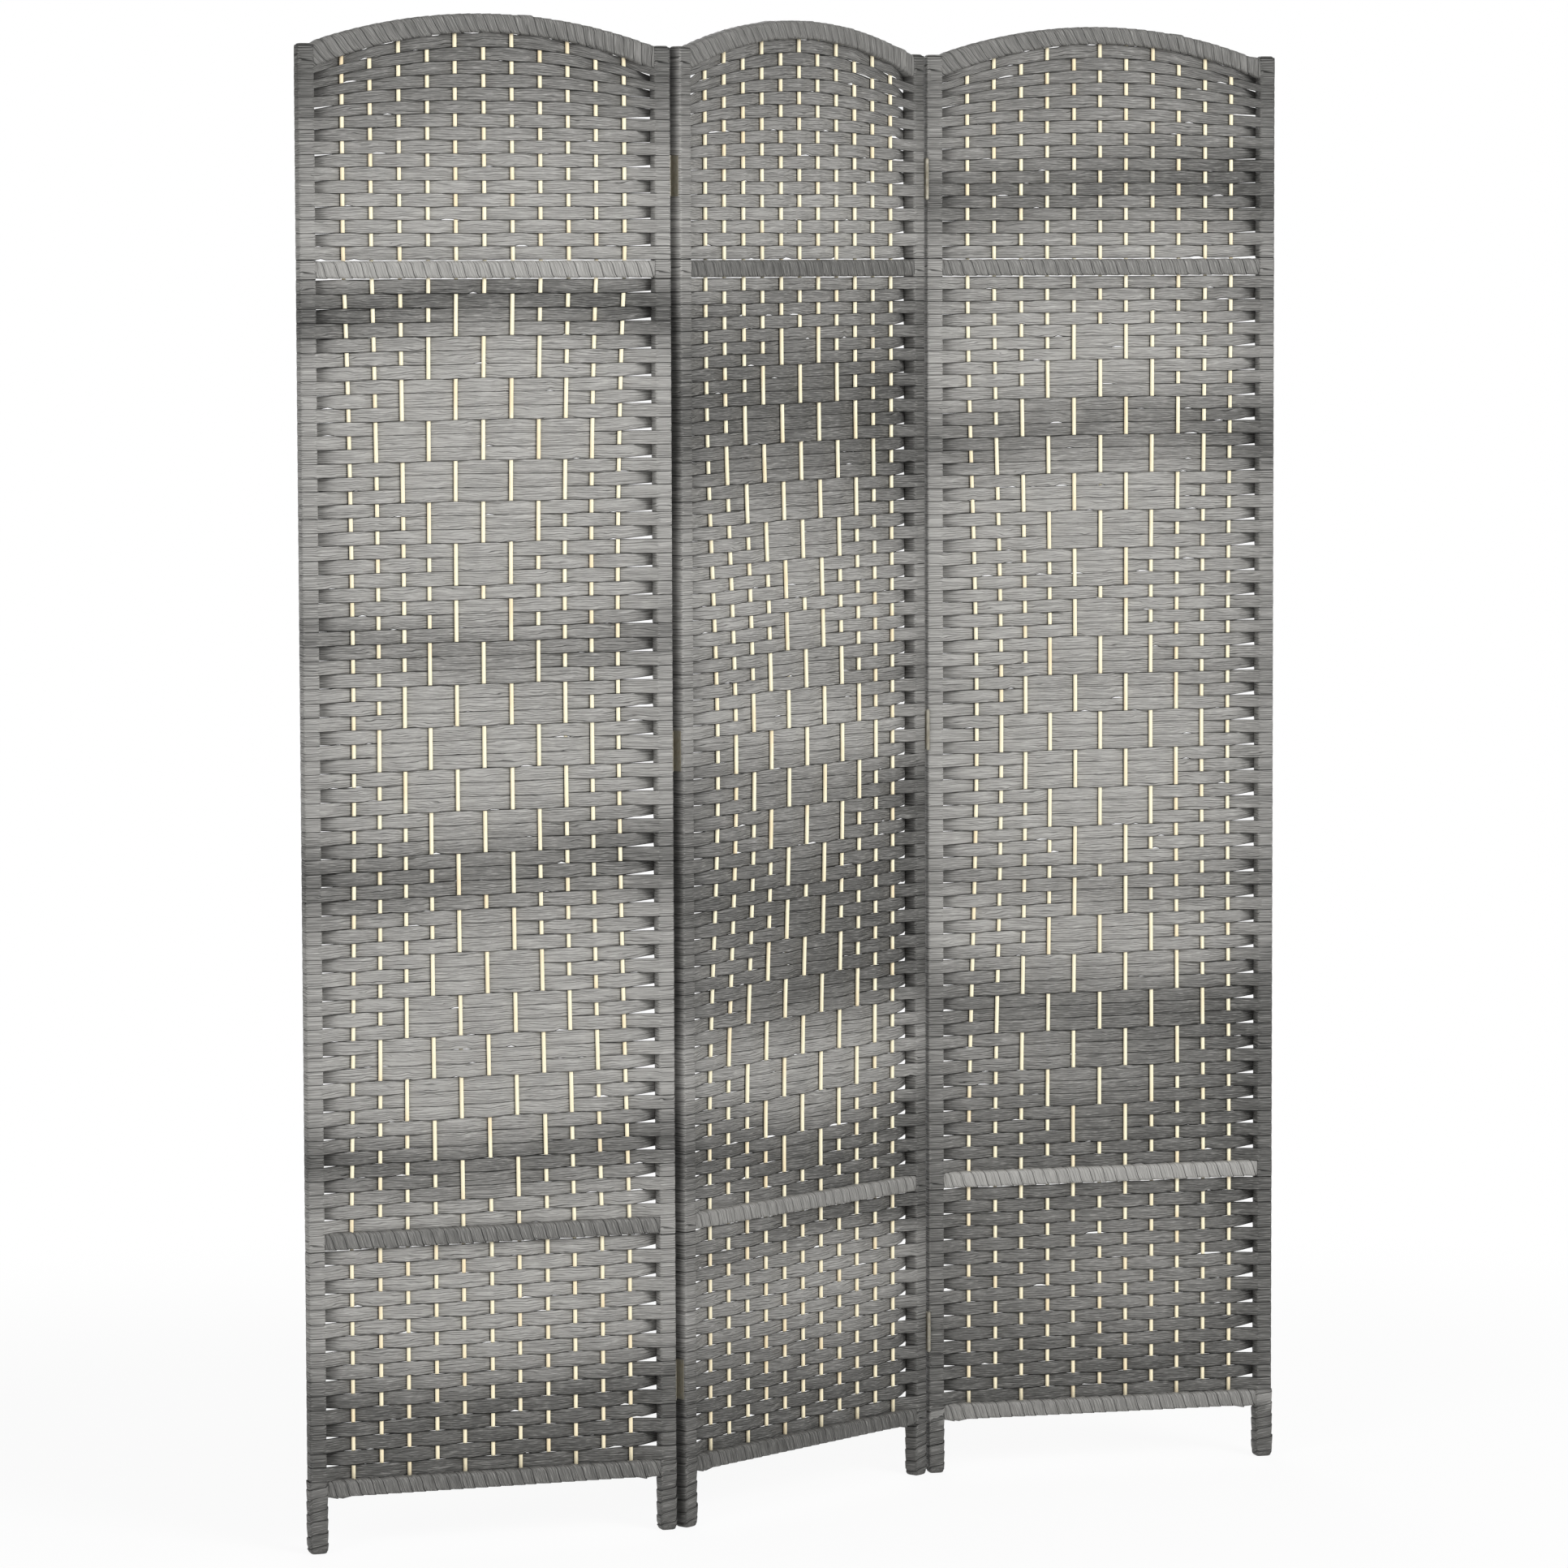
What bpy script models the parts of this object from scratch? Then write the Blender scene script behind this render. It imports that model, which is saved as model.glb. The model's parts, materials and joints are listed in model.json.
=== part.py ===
"""Three-panel folding room divider: wooden frames wound and woven with flat paper ribbon.

Units are metres, +Z is up and the front faces -Y. Each panel is modelled in its own frame:
x runs from the outer face of its left stile, y from its middle plane (the back is +Y), z from
the floor. The middle panel carries the other two on three brass hinges at each seam.
"""

import math

import bmesh
import bpy
from mathutils import Vector

# Overall sizes of one panel
PANEL_WIDTH = 0.450
STILE_HEIGHT = 1.760
ARCH_RISE = 0.040

# Ribbon and fits
RIBBON_THICKNESS = 0.0010
FIT_GAP = 0.0003

# Wooden frame
STILE_SIZE = 0.0165
STILE_EDGE = 0.0025
RAIL_HEIGHT = 0.0174
RAIL_DEPTH = 0.0154
RAIL_EDGE = 0.0030
UPPER_RAIL_DROP = 0.2552
LOWER_RAIL_Z = 0.3688
BOTTOM_RAIL_Z = 0.0758
TENON_LENGTH = 0.0090
TENON_HEIGHT = 0.0080
TENON_DEPTH = 0.0080
ARCH_STATIONS = 8

# Sticks, and the sheets of ribbon woven over them between the rails
STICK_COUNT = 11
STICK_RADIUS = 0.0025
FIRST_STICK_X = 0.0540
STICK_CLEARANCE = 0.0004
SHEET_THICKNESS = 0.0024
ARCH_SLIT = 0.0025
RAIL_SLIT = 0.0012

# Hinges
HINGE_HEIGHT = 0.048
TOP_HINGE_DROP = 0.146
MIDDLE_HINGE_DROP = 0.826
BOTTOM_HINGE_Z = 0.180
LEAF_THICKNESS = 0.0010
LEAF_WIDTH = 0.0160
LEAF_HALF_GAP = 0.0002
KNUCKLE_RADIUS = 0.0024
PIN_RADIUS = 0.0011
PIN_HEAD_RADIUS = 0.0018
PIN_HEAD_HEIGHT = 0.0010
SCREW_HOLE_RADIUS = 0.0016
SCREW_HOLE_SPACING = 0.0170
SCREW_HOLE_COUNT = 2

# How far each panel is turned from the run of the screen, in degrees, as it stands
PANEL_TURNS = {"left": -8.6, "middle": 21.8, "right": -12.8}

# Facets, and the angle in degrees from which an edge stays sharp
SHARP_ANGLE = 35
ROUND_SIDES = 8
STICK_SIDES = 6
CORNER_STEPS = 1
CUT_OVERRUN = 0.0020

# Sizes that follow from the ones above
WRAP = RIBBON_THICKNESS + FIT_GAP
STILE_OUTER = STILE_SIZE + 2 * WRAP
WOUND_HEIGHT = RAIL_HEIGHT + 2 * WRAP
WOUND_DEPTH = RAIL_DEPTH + 2 * WRAP
INNER_LEFT = STILE_OUTER
INNER_RIGHT = PANEL_WIDTH - STILE_OUTER
ARCH_RADIUS = (INNER_RIGHT - INNER_LEFT) ** 2 / (8 * ARCH_RISE) + ARCH_RISE / 2
ARCH_CENTRE_Z = STILE_HEIGHT + ARCH_RISE - ARCH_RADIUS
UPPER_RAIL_Z = STILE_HEIGHT - UPPER_RAIL_DROP
FOOT_TOP = BOTTOM_RAIL_Z - WOUND_HEIGHT / 2
HINGE_SIDE = FIT_GAP + LEAF_THICKNESS + LEAF_HALF_GAP
HINGE_DEPTH = STILE_OUTER / 2 + KNUCKLE_RADIUS + FIT_GAP
STRAIGHT_RAILS = {"upper": UPPER_RAIL_Z, "lower": LOWER_RAIL_Z, "bottom": BOTTOM_RAIL_Z}
HINGE_CENTRES = {
    "top": STILE_HEIGHT - TOP_HINGE_DROP,
    "middle": STILE_HEIGHT - MIDDLE_HINGE_DROP,
    "bottom": BOTTOM_HINGE_Z,
}


def clear_scene():
    for obj in list(bpy.data.objects):
        bpy.data.objects.remove(obj, do_unlink=True)


def material(name, colour, roughness, metallic=0.0):
    made = bpy.data.materials.new(name)
    made.use_nodes = True
    made.diffuse_color = (*colour, 1.0)
    surface = made.node_tree.nodes["Principled BSDF"]
    surface.inputs["Base Color"].default_value = (*colour, 1.0)
    surface.inputs["Roughness"].default_value = roughness
    surface.inputs["Metallic"].default_value = metallic
    return made


def add_loft(mesh, rings, closed=False):
    """Joins rings of equally many points by faces; the ends are capped unless the loft closes."""
    made = [[mesh.verts.new(point) for point in ring] for ring in rings]
    pairs = list(zip(made, made[1:]))
    if closed:
        pairs.append((made[-1], made[0]))
    faces = []
    for near, far in pairs:
        for k, corner in enumerate(near):
            after = (k + 1) % len(near)
            faces.append(mesh.faces.new((corner, near[after], far[after], far[k])))
    if not closed:
        faces.append(mesh.faces.new(made[0][::-1]))
        faces.append(mesh.faces.new(made[-1]))
    bmesh.ops.recalc_face_normals(mesh, faces=faces)


def lofted(name, lofts, closed=False):
    """One mesh object from one or more lofts that don't meet."""
    mesh = bmesh.new()
    for rings in lofts:
        add_loft(mesh, rings, closed)
    data = bpy.data.meshes.new(name)
    mesh.to_mesh(data)
    mesh.free()
    obj = bpy.data.objects.new(name, data)
    bpy.context.scene.collection.objects.link(obj)
    return obj


def finish(obj, panel, finish_material):
    """Gives a piece its material, soft shading and its place on the panel."""
    obj.data.materials.append(finish_material)
    obj.data.shade_smooth()
    obj.data.set_sharp_from_angle(angle=math.radians(SHARP_ANGLE))
    obj.parent = panel["empty"]
    obj.location = panel["offset"]
    return obj


def helper(obj, owner):
    """A guide or cutter that only modifiers use; it keeps to the piece it shapes."""
    obj.hide_render = True
    obj.display_type = "WIRE"
    obj.parent = owner
    return obj


def combine(obj, other, operation):
    modifier = obj.modifiers.new(operation.title(), "BOOLEAN")
    modifier.operation = operation
    modifier.solver = "EXACT"
    modifier.object = helper(other, obj)


def rounded_rectangle(width, height, edge):
    """Points round a centred rectangle, with corners of radius edge."""
    corners = ((1, 1, 0), (-1, 1, 1), (-1, -1, 2), (1, -1, 3))
    points = []
    for sign_a, sign_b, quarter in corners:
        centre_a = sign_a * (width / 2 - edge)
        centre_b = sign_b * (height / 2 - edge)
        for step in range(CORNER_STEPS + 1):
            angle = math.pi / 2 * (quarter + step / CORNER_STEPS)
            points.append((centre_a + edge * math.cos(angle), centre_b + edge * math.sin(angle)))
    return points


def circle(radius, sides):
    turns = [k * math.tau / sides for k in range(sides)]
    return [(radius * math.cos(turn), radius * math.sin(turn)) for turn in turns]


def ring_across_z(profile, x, y, z):
    return [Vector((x + a, y + b, z)) for a, b in profile]


def ring_across_x(profile, x, z):
    return [Vector((x, a, z + b)) for a, b in profile]


def box(low, high):
    """The two rings of a box between two corners, for a loft."""
    corners = [(low[0], low[1]), (high[0], low[1]), (high[0], high[1]), (low[0], high[1])]
    return [[Vector((x, y, z)) for x, y in corners] for z in (low[2], high[2])]


def upright_band(x_places, half_depth, low_of, high_of):
    """Vertical sections of a band between two edges, along x."""
    rings = []
    for x in x_places:
        low, high = low_of(x), high_of(x)
        corners = ((-half_depth, low), (half_depth, low), (half_depth, high), (-half_depth, high))
        rings.append([Vector((x, y, z)) for y, z in corners])
    return rings


def stick_places():
    spacing = (PANEL_WIDTH - 2 * FIRST_STICK_X) / (STICK_COUNT - 1)
    return [FIRST_STICK_X + k * spacing for k in range(STICK_COUNT)]


def arch_z(x, inset):
    """Height at x of the arch's curve that lies inset below its crown line."""
    radius = ARCH_RADIUS - inset
    return ARCH_CENTRE_Z + math.sqrt(radius**2 - (x - PANEL_WIDTH / 2) ** 2)


def arch_places(start, end):
    """Stations along x where the arched pieces have a section."""
    return [start + (end - start) * k / ARCH_STATIONS for k in range(ARCH_STATIONS + 1)]


def arch_ring(x, inset, depth, edge):
    """A vertical section of the arched rail whose surface lies inset inside the wound one."""
    top = arch_z(x, inset)
    bottom = arch_z(x, WOUND_HEIGHT - inset)
    return ring_across_x(rounded_rectangle(depth, top - bottom, edge), x, (top + bottom) / 2)


def arch_middle(x):
    return arch_z(x, WOUND_HEIGHT / 2)


def tenon_ring(x, z):
    return ring_across_x(rounded_rectangle(TENON_DEPTH, TENON_HEIGHT, RAIL_EDGE), x, z)


def core_left():
    """x of a rail's left shoulder, against the bare wood of the stile."""
    return (STILE_OUTER + STILE_SIZE) / 2 + FIT_GAP


def core_right():
    return PANEL_WIDTH - core_left()


def stick_holes(low_of, high_of):
    """Six-sided holes for the sticks, each between two heights."""
    radius = (STICK_RADIUS + STICK_CLEARANCE) / math.cos(math.pi / STICK_SIDES)
    profile = circle(radius, STICK_SIDES)
    return [
        [ring_across_z(profile, x, 0, low_of(x)), ring_across_z(profile, x, 0, high_of(x))]
        for x in stick_places()
    ]


def stick_slot(low_of, high_of, between=()):
    """A slot in a winding, from the first stick to the last, that lets them all through."""
    half = STICK_RADIUS / math.cos(math.pi / STICK_SIDES) + STICK_CLEARANCE
    sticks_x = stick_places()
    start, end = sticks_x[0] - half, sticks_x[-1] + half
    places = [start, *(x for x in between if start < x < end), end]
    return [upright_band(places, half, low_of, high_of)]


def rail_heights():
    """Height of each rail's tenon."""
    return [*STRAIGHT_RAILS.values(), arch_middle(core_left())]


def make_stile(panel, side, wood):
    middle = STILE_OUTER / 2 if side == "left" else PANEL_WIDTH - STILE_OUTER / 2
    profile = rounded_rectangle(STILE_SIZE, STILE_SIZE, STILE_EDGE)
    ends = (WRAP, STILE_HEIGHT - WRAP)
    stile = lofted(
        f"{panel['name']}_{side}_stile", [[ring_across_z(profile, middle, 0, z) for z in ends]]
    )
    reach = TENON_LENGTH + FIT_GAP
    inward = 1 if side == "left" else -1
    face = middle + inward * STILE_SIZE / 2
    across = sorted((face + inward * CUT_OVERRUN, face - inward * reach))
    half_depth = TENON_DEPTH / 2 + FIT_GAP
    half_height = TENON_HEIGHT / 2 + FIT_GAP
    mortises = [
        box((across[0], -half_depth, z - half_height), (across[1], half_depth, z + half_height))
        for z in rail_heights()
    ]
    combine(stile, lofted(f"{stile.name}_mortises", mortises), "DIFFERENCE")
    return finish(stile, panel, wood)


def make_straight_rail(panel, name, z, wood):
    profile = rounded_rectangle(RAIL_DEPTH, RAIL_HEIGHT, RAIL_EDGE)
    left, right = core_left(), core_right()
    tip = TENON_LENGTH + FIT_GAP
    rings = [
        tenon_ring(left - tip, z),
        tenon_ring(left, z),
        ring_across_x(profile, left, z),
        ring_across_x(profile, right, z),
        tenon_ring(right, z),
        tenon_ring(right + tip, z),
    ]
    rail = lofted(f"{panel['name']}_{name}_rail", [rings])
    low = z - STICK_CLEARANCE if name == "bottom" else z - RAIL_HEIGHT / 2 - CUT_OVERRUN
    high = z + RAIL_HEIGHT / 2 + CUT_OVERRUN
    holes = stick_holes(lambda x: low, lambda x: high)
    combine(rail, lofted(f"{rail.name}_holes", holes), "DIFFERENCE")
    return finish(rail, panel, wood)


def make_arched_rail(panel, wood):
    left, right = core_left(), core_right()
    tip = TENON_LENGTH + FIT_GAP
    z = arch_middle(left)
    rings = [tenon_ring(left - tip, z), tenon_ring(left, z)]
    rings += [arch_ring(x, WRAP, RAIL_DEPTH, RAIL_EDGE) for x in arch_places(left, right)]
    rings += [tenon_ring(right, z), tenon_ring(right + tip, z)]
    rail = lofted(f"{panel['name']}_top_rail", [rings])
    holes = stick_holes(
        lambda x: arch_z(x, WOUND_HEIGHT) - CUT_OVERRUN,
        lambda x: arch_middle(x) + STICK_CLEARANCE,
    )
    combine(rail, lofted(f"{rail.name}_holes", holes), "DIFFERENCE")
    return finish(rail, panel, wood)


def make_straight_winding(panel, name, z, ribbon):
    """Ribbon wound round a straight rail: a sleeve from stile to stile."""
    left, right = INNER_LEFT + FIT_GAP, INNER_RIGHT - FIT_GAP
    outer = rounded_rectangle(WOUND_DEPTH, WOUND_HEIGHT, RAIL_EDGE + WRAP)
    bore = rounded_rectangle(
        RAIL_DEPTH + 2 * FIT_GAP, RAIL_HEIGHT + 2 * FIT_GAP, RAIL_EDGE + FIT_GAP
    )
    rings = [
        ring_across_x(outer, left, z),
        ring_across_x(outer, right, z),
        ring_across_x(bore, right, z),
        ring_across_x(bore, left, z),
    ]
    winding = lofted(f"{panel['name']}_{name}_rail_winding", [rings], closed=True)
    low = z if name == "bottom" else z - WOUND_HEIGHT / 2 - CUT_OVERRUN
    high = z + WOUND_HEIGHT / 2 + CUT_OVERRUN
    slot = stick_slot(lambda x: low, lambda x: high)
    combine(winding, lofted(f"{winding.name}_slot", slot), "DIFFERENCE")
    return finish(winding, panel, ribbon)


def make_arched_winding(panel, ribbon):
    places = arch_places(INNER_LEFT + FIT_GAP, INNER_RIGHT - FIT_GAP)
    bore_depth = RAIL_DEPTH + 2 * FIT_GAP
    bore_edge = RAIL_EDGE + FIT_GAP
    rings = [arch_ring(x, 0, WOUND_DEPTH, RAIL_EDGE + WRAP) for x in places]
    rings += [arch_ring(x, RIBBON_THICKNESS, bore_depth, bore_edge) for x in reversed(places)]
    winding = lofted(f"{panel['name']}_top_rail_winding", [rings], closed=True)
    slot = stick_slot(lambda x: arch_z(x, WOUND_HEIGHT) - CUT_OVERRUN, arch_middle, places)
    combine(winding, lofted(f"{winding.name}_slot", slot), "DIFFERENCE")
    return finish(winding, panel, ribbon)


def sleeve_rings(middle, closed_end, open_end):
    """A tube of ribbon round a stile, closed by a patch over the stile's end."""
    outer = rounded_rectangle(STILE_OUTER, STILE_OUTER, STILE_EDGE + WRAP)
    bore_size = STILE_SIZE + 2 * FIT_GAP
    bore = rounded_rectangle(bore_size, bore_size, STILE_EDGE + FIT_GAP)
    patch = RIBBON_THICKNESS if open_end > closed_end else -RIBBON_THICKNESS
    return [
        ring_across_z(outer, middle, 0, closed_end),
        ring_across_z(outer, middle, 0, open_end),
        ring_across_z(bore, middle, 0, open_end),
        ring_across_z(bore, middle, 0, closed_end + patch),
    ]


def make_foot_winding(panel, side, ribbon):
    middle = STILE_OUTER / 2 if side == "left" else PANEL_WIDTH - STILE_OUTER / 2
    rings = sleeve_rings(middle, 0, FOOT_TOP)
    winding = lofted(f"{panel['name']}_{side}_foot_winding", [rings])
    return finish(winding, panel, ribbon)


def woven_sheets():
    """The three sheets between the rails; their ends sink into the sleeves on the stiles."""
    left = INNER_LEFT - RIBBON_THICKNESS / 2
    right = INNER_RIGHT + RIBBON_THICKNESS / 2
    half = SHEET_THICKNESS / 2
    reach = WOUND_HEIGHT / 2 + RAIL_SLIT
    return [
        upright_band(
            arch_places(left, right),
            half,
            lambda x: UPPER_RAIL_Z + reach,
            lambda x: arch_z(x, WOUND_HEIGHT) - ARCH_SLIT,
        ),
        upright_band(
            (left, right), half, lambda x: LOWER_RAIL_Z + reach, lambda x: UPPER_RAIL_Z - reach
        ),
        upright_band(
            (left, right), half, lambda x: BOTTOM_RAIL_Z + reach, lambda x: LOWER_RAIL_Z - reach
        ),
    ]


def sticks():
    profile = circle(STICK_RADIUS / math.cos(math.pi / STICK_SIDES), STICK_SIDES)
    return [
        [ring_across_z(profile, x, 0, BOTTOM_RAIL_Z), ring_across_z(profile, x, 0, arch_middle(x))]
        for x in stick_places()
    ]


def rail_notches():
    """Where the rails' wood passes through the ribbon on the stiles."""
    half_depth = RAIL_DEPTH / 2 + FIT_GAP
    half_height = RAIL_HEIGHT / 2 + FIT_GAP
    low_x = INNER_LEFT - WRAP
    high_x = INNER_LEFT + CUT_OVERRUN
    spans = [(z - half_height, z + half_height) for z in STRAIGHT_RAILS.values()]
    under = arch_z(low_x, WOUND_HEIGHT - RIBBON_THICKNESS)
    spans.append((under, arch_z(INNER_LEFT, RIBBON_THICKNESS)))
    notches = []
    for low, high in spans:
        for near, far in ((low_x, high_x), (PANEL_WIDTH - high_x, PANEL_WIDTH - low_x)):
            notches.append(box((near, -half_depth, low), (far, half_depth, high)))
    return notches


def make_weave(panel, ribbon):
    """Eleven sticks and the ribbon woven over them and round both stiles."""
    start = FOOT_TOP + FIT_GAP
    sleeves = [
        sleeve_rings(middle, STILE_HEIGHT, start)
        for middle in (STILE_OUTER / 2, PANEL_WIDTH - STILE_OUTER / 2)
    ]
    weave = lofted(f"{panel['name']}_weave", sleeves)
    combine(weave, lofted(f"{weave.name}_sheets", woven_sheets()), "UNION")
    combine(weave, lofted(f"{weave.name}_sticks", sticks()), "UNION")
    combine(weave, lofted(f"{weave.name}_notches", rail_notches()), "DIFFERENCE")
    return finish(weave, panel, ribbon)


def seam_axis(panel_side, at_back):
    """Where a seam's axis lies in a panel's own frame."""
    x = PANEL_WIDTH + HINGE_SIDE if panel_side == "right" else -HINGE_SIDE
    return Vector((x, HINGE_DEPTH if at_back else -HINGE_DEPTH, 0))


def leaf_outline(axis, z, knuckles):
    """A leaf's outline in y and z: a plate whose edge has a tongue at each knuckle."""
    away = 1 if axis.y > 0 else -1
    seat = away * STILE_OUTER / 2
    far = seat - away * LEAF_WIDTH
    bottom, top = z - HINGE_HEIGHT / 2, z + HINGE_HEIGHT / 2
    points = [(far, bottom), (seat, bottom)]
    for low, high in knuckles:
        points += [(seat, low), (axis.y, low), (axis.y, high), (seat, high)]
    points += [(seat, top), (far, top)]
    return [point for k, point in enumerate(points) if point != points[k - 1]]


def knuckle_spans(z, ends):
    """Heights of a leaf's knuckles: the two end thirds, or the middle one."""
    third = HINGE_HEIGHT / 3
    bottom = z - HINGE_HEIGHT / 2
    if ends:
        return [
            (bottom, bottom + third - FIT_GAP / 2),
            (bottom + 2 * third + FIT_GAP / 2, bottom + HINGE_HEIGHT),
        ]
    return [(bottom + third + FIT_GAP / 2, bottom + 2 * third - FIT_GAP / 2)]


def screw_places(z):
    first = z - SCREW_HOLE_SPACING * (SCREW_HOLE_COUNT - 1) / 2
    return [first + k * SCREW_HOLE_SPACING for k in range(SCREW_HOLE_COUNT)]


def make_leaf(panel, name, panel_side, at_back, z, ends, brass):
    axis = seam_axis(panel_side, at_back)
    outward = 1 if panel_side == "right" else -1
    plate_near = axis.x - outward * (LEAF_HALF_GAP + LEAF_THICKNESS)
    plate_far = axis.x - outward * LEAF_HALF_GAP
    spans = knuckle_spans(z, ends)
    outline = leaf_outline(axis, z, spans)
    rings = [[Vector((x, y, height)) for y, height in outline] for x in (plate_near, plate_far)]
    leaf = lofted(name, [rings])
    barrel = circle(KNUCKLE_RADIUS, ROUND_SIDES)
    tubes = [[ring_across_z(barrel, axis.x, axis.y, height) for height in span] for span in spans]
    combine(leaf, lofted(f"{name}_knuckles", tubes), "UNION")
    bore = circle((PIN_RADIUS + FIT_GAP) / math.cos(math.pi / ROUND_SIDES), ROUND_SIDES)
    bore_ends = (z - HINGE_HEIGHT / 2 - CUT_OVERRUN, z + HINGE_HEIGHT / 2 + CUT_OVERRUN)
    cutters = [[ring_across_z(bore, axis.x, axis.y, height) for height in bore_ends]]
    hole = circle(SCREW_HOLE_RADIUS, ROUND_SIDES)
    away = 1 if at_back else -1
    hole_y = away * (STILE_OUTER - LEAF_WIDTH) / 2
    hole_ends = (plate_near - outward * CUT_OVERRUN, plate_far + outward * CUT_OVERRUN)
    for height in screw_places(z):
        cutters.append(
            [[Vector((x, hole_y + a, height + b)) for a, b in hole] for x in hole_ends]
        )
    combine(leaf, lofted(f"{name}_holes", cutters), "DIFFERENCE")
    return finish(leaf, panel, brass)


def make_pin(panel, name, panel_side, at_back, z, brass):
    axis = seam_axis(panel_side, at_back)
    shank = circle(PIN_RADIUS, ROUND_SIDES)
    head = circle(PIN_HEAD_RADIUS, ROUND_SIDES)
    seat = HINGE_HEIGHT / 2 + FIT_GAP
    tip = seat + PIN_HEAD_HEIGHT
    steps = ((head, -tip), (head, -seat), (shank, -seat), (shank, seat), (head, seat), (head, tip))
    rings = [ring_across_z(profile, axis.x, axis.y, z + height) for profile, height in steps]
    return finish(lofted(name, [rings]), panel, brass)


def make_hinges(left_panel, right_panel, seam, at_back, brass):
    """Three hinges along a seam; the pin stays with the middle panel's leaf."""
    for height_name, z in HINGE_CENTRES.items():
        start = f"{seam}_seam_{height_name}_hinge"
        left_is_middle = left_panel["name"].startswith("middle")
        make_leaf(left_panel, f"{start}_left_leaf", "right", at_back, z, left_is_middle, brass)
        make_leaf(right_panel, f"{start}_right_leaf", "left", at_back, z, not left_is_middle, brass)
        if left_is_middle:
            make_pin(left_panel, f"{start}_pin", "right", at_back, z, brass)
        else:
            make_pin(right_panel, f"{start}_pin", "left", at_back, z, brass)


def turned(vector, degrees):
    angle = math.radians(degrees)
    return Vector((
        vector.x * math.cos(angle) - vector.y * math.sin(angle),
        vector.x * math.sin(angle) + vector.y * math.cos(angle),
        0,
    ))


def footprint(starts):
    """Plan corners of every panel and hinge barrel, with the middle panel's frame at the start."""
    half = STILE_OUTER / 2
    corners = []
    for name, start in starts.items():
        for x in (0, PANEL_WIDTH):
            for y in (-half, half):
                corners.append(start + turned(Vector((x, y, 0)), PANEL_TURNS[name]))
    reach = KNUCKLE_RADIUS
    for axis in (seam_axis("left", True), seam_axis("right", False)):
        place = turned(axis, PANEL_TURNS["middle"])
        corners += [place + Vector((x, y, 0)) for x in (-reach, reach) for y in (-reach, reach)]
    return corners


def panel_starts():
    """Where each panel's own frame starts, seen from the middle panel's."""
    left_axis = turned(seam_axis("left", True), PANEL_TURNS["middle"])
    right_axis = turned(seam_axis("right", False), PANEL_TURNS["middle"])
    return {
        "left": left_axis - turned(seam_axis("right", True), PANEL_TURNS["left"]),
        "middle": Vector((0, 0, 0)),
        "right": right_axis - turned(seam_axis("left", False), PANEL_TURNS["right"]),
    }


def add_empty(name, parent, place, degrees):
    empty = bpy.data.objects.new(name, None)
    bpy.context.scene.collection.objects.link(empty)
    empty.parent = parent
    empty.location = place
    empty.rotation_euler.z = math.radians(degrees)
    return empty


def make_frames():
    """Empties for the panels, the moving ones on their hinge axes, over the middle of the floor plan."""
    corners = footprint(panel_starts())
    centre = Vector((
        (min(p.x for p in corners) + max(p.x for p in corners)) / 2,
        (min(p.y for p in corners) + max(p.y for p in corners)) / 2,
        0,
    ))
    middle = add_empty("middle_panel_frame", None, -centre, PANEL_TURNS["middle"])
    left_turn = PANEL_TURNS["left"] - PANEL_TURNS["middle"]
    right_turn = PANEL_TURNS["right"] - PANEL_TURNS["middle"]
    left = add_empty("left_fold_axis", middle, seam_axis("left", True), left_turn)
    right = add_empty("right_fold_axis", middle, seam_axis("right", False), right_turn)
    places = {
        "left": (left, -seam_axis("right", True)),
        "middle": (middle, Vector((0, 0, 0))),
        "right": (right, -seam_axis("left", False)),
    }
    return {
        side: {"name": f"{side}_panel", "empty": empty, "offset": offset}
        for side, (empty, offset) in places.items()
    }


def make_panel(panel, wood, ribbon):
    for side in ("left", "right"):
        make_stile(panel, side, wood)
        make_foot_winding(panel, side, ribbon)
    for name, z in STRAIGHT_RAILS.items():
        make_straight_rail(panel, name, z, wood)
        make_straight_winding(panel, name, z, ribbon)
    make_arched_rail(panel, wood)
    make_arched_winding(panel, ribbon)
    make_weave(panel, ribbon)


def main():
    clear_scene()
    wood = material("pale_wood", (0.66, 0.46, 0.26), 0.6)
    ribbon = material("grey_paper_ribbon", (0.27, 0.27, 0.26), 0.65)
    brass = material("aged_brass", (0.42, 0.30, 0.13), 0.4, 1.0)
    panels = make_frames()
    for panel in panels.values():
        make_panel(panel, wood, ribbon)
    make_hinges(panels["left"], panels["middle"], "left", True, brass)
    make_hinges(panels["middle"], panels["right"], "right", False, brass)


main()
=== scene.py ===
"""The looks of a three-panel folding room divider: wooden frames wound and woven with grey paper ribbon.

Units are metres and +Z is up. Every piece is worked out in its panel's own frame, in which x runs
from the outer face of the left stile, y from the panel's middle plane with the back at +Y, and z
from the floor, and is then set in its place in the mesh.
"""

import json
import math

import bmesh
import bpy
import numpy as np
from bpy.props import FloatProperty, FloatVectorProperty, IntProperty, PointerProperty
from bpy.types import Operator, Panel, PropertyGroup
from mathutils import Matrix, Vector

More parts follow.
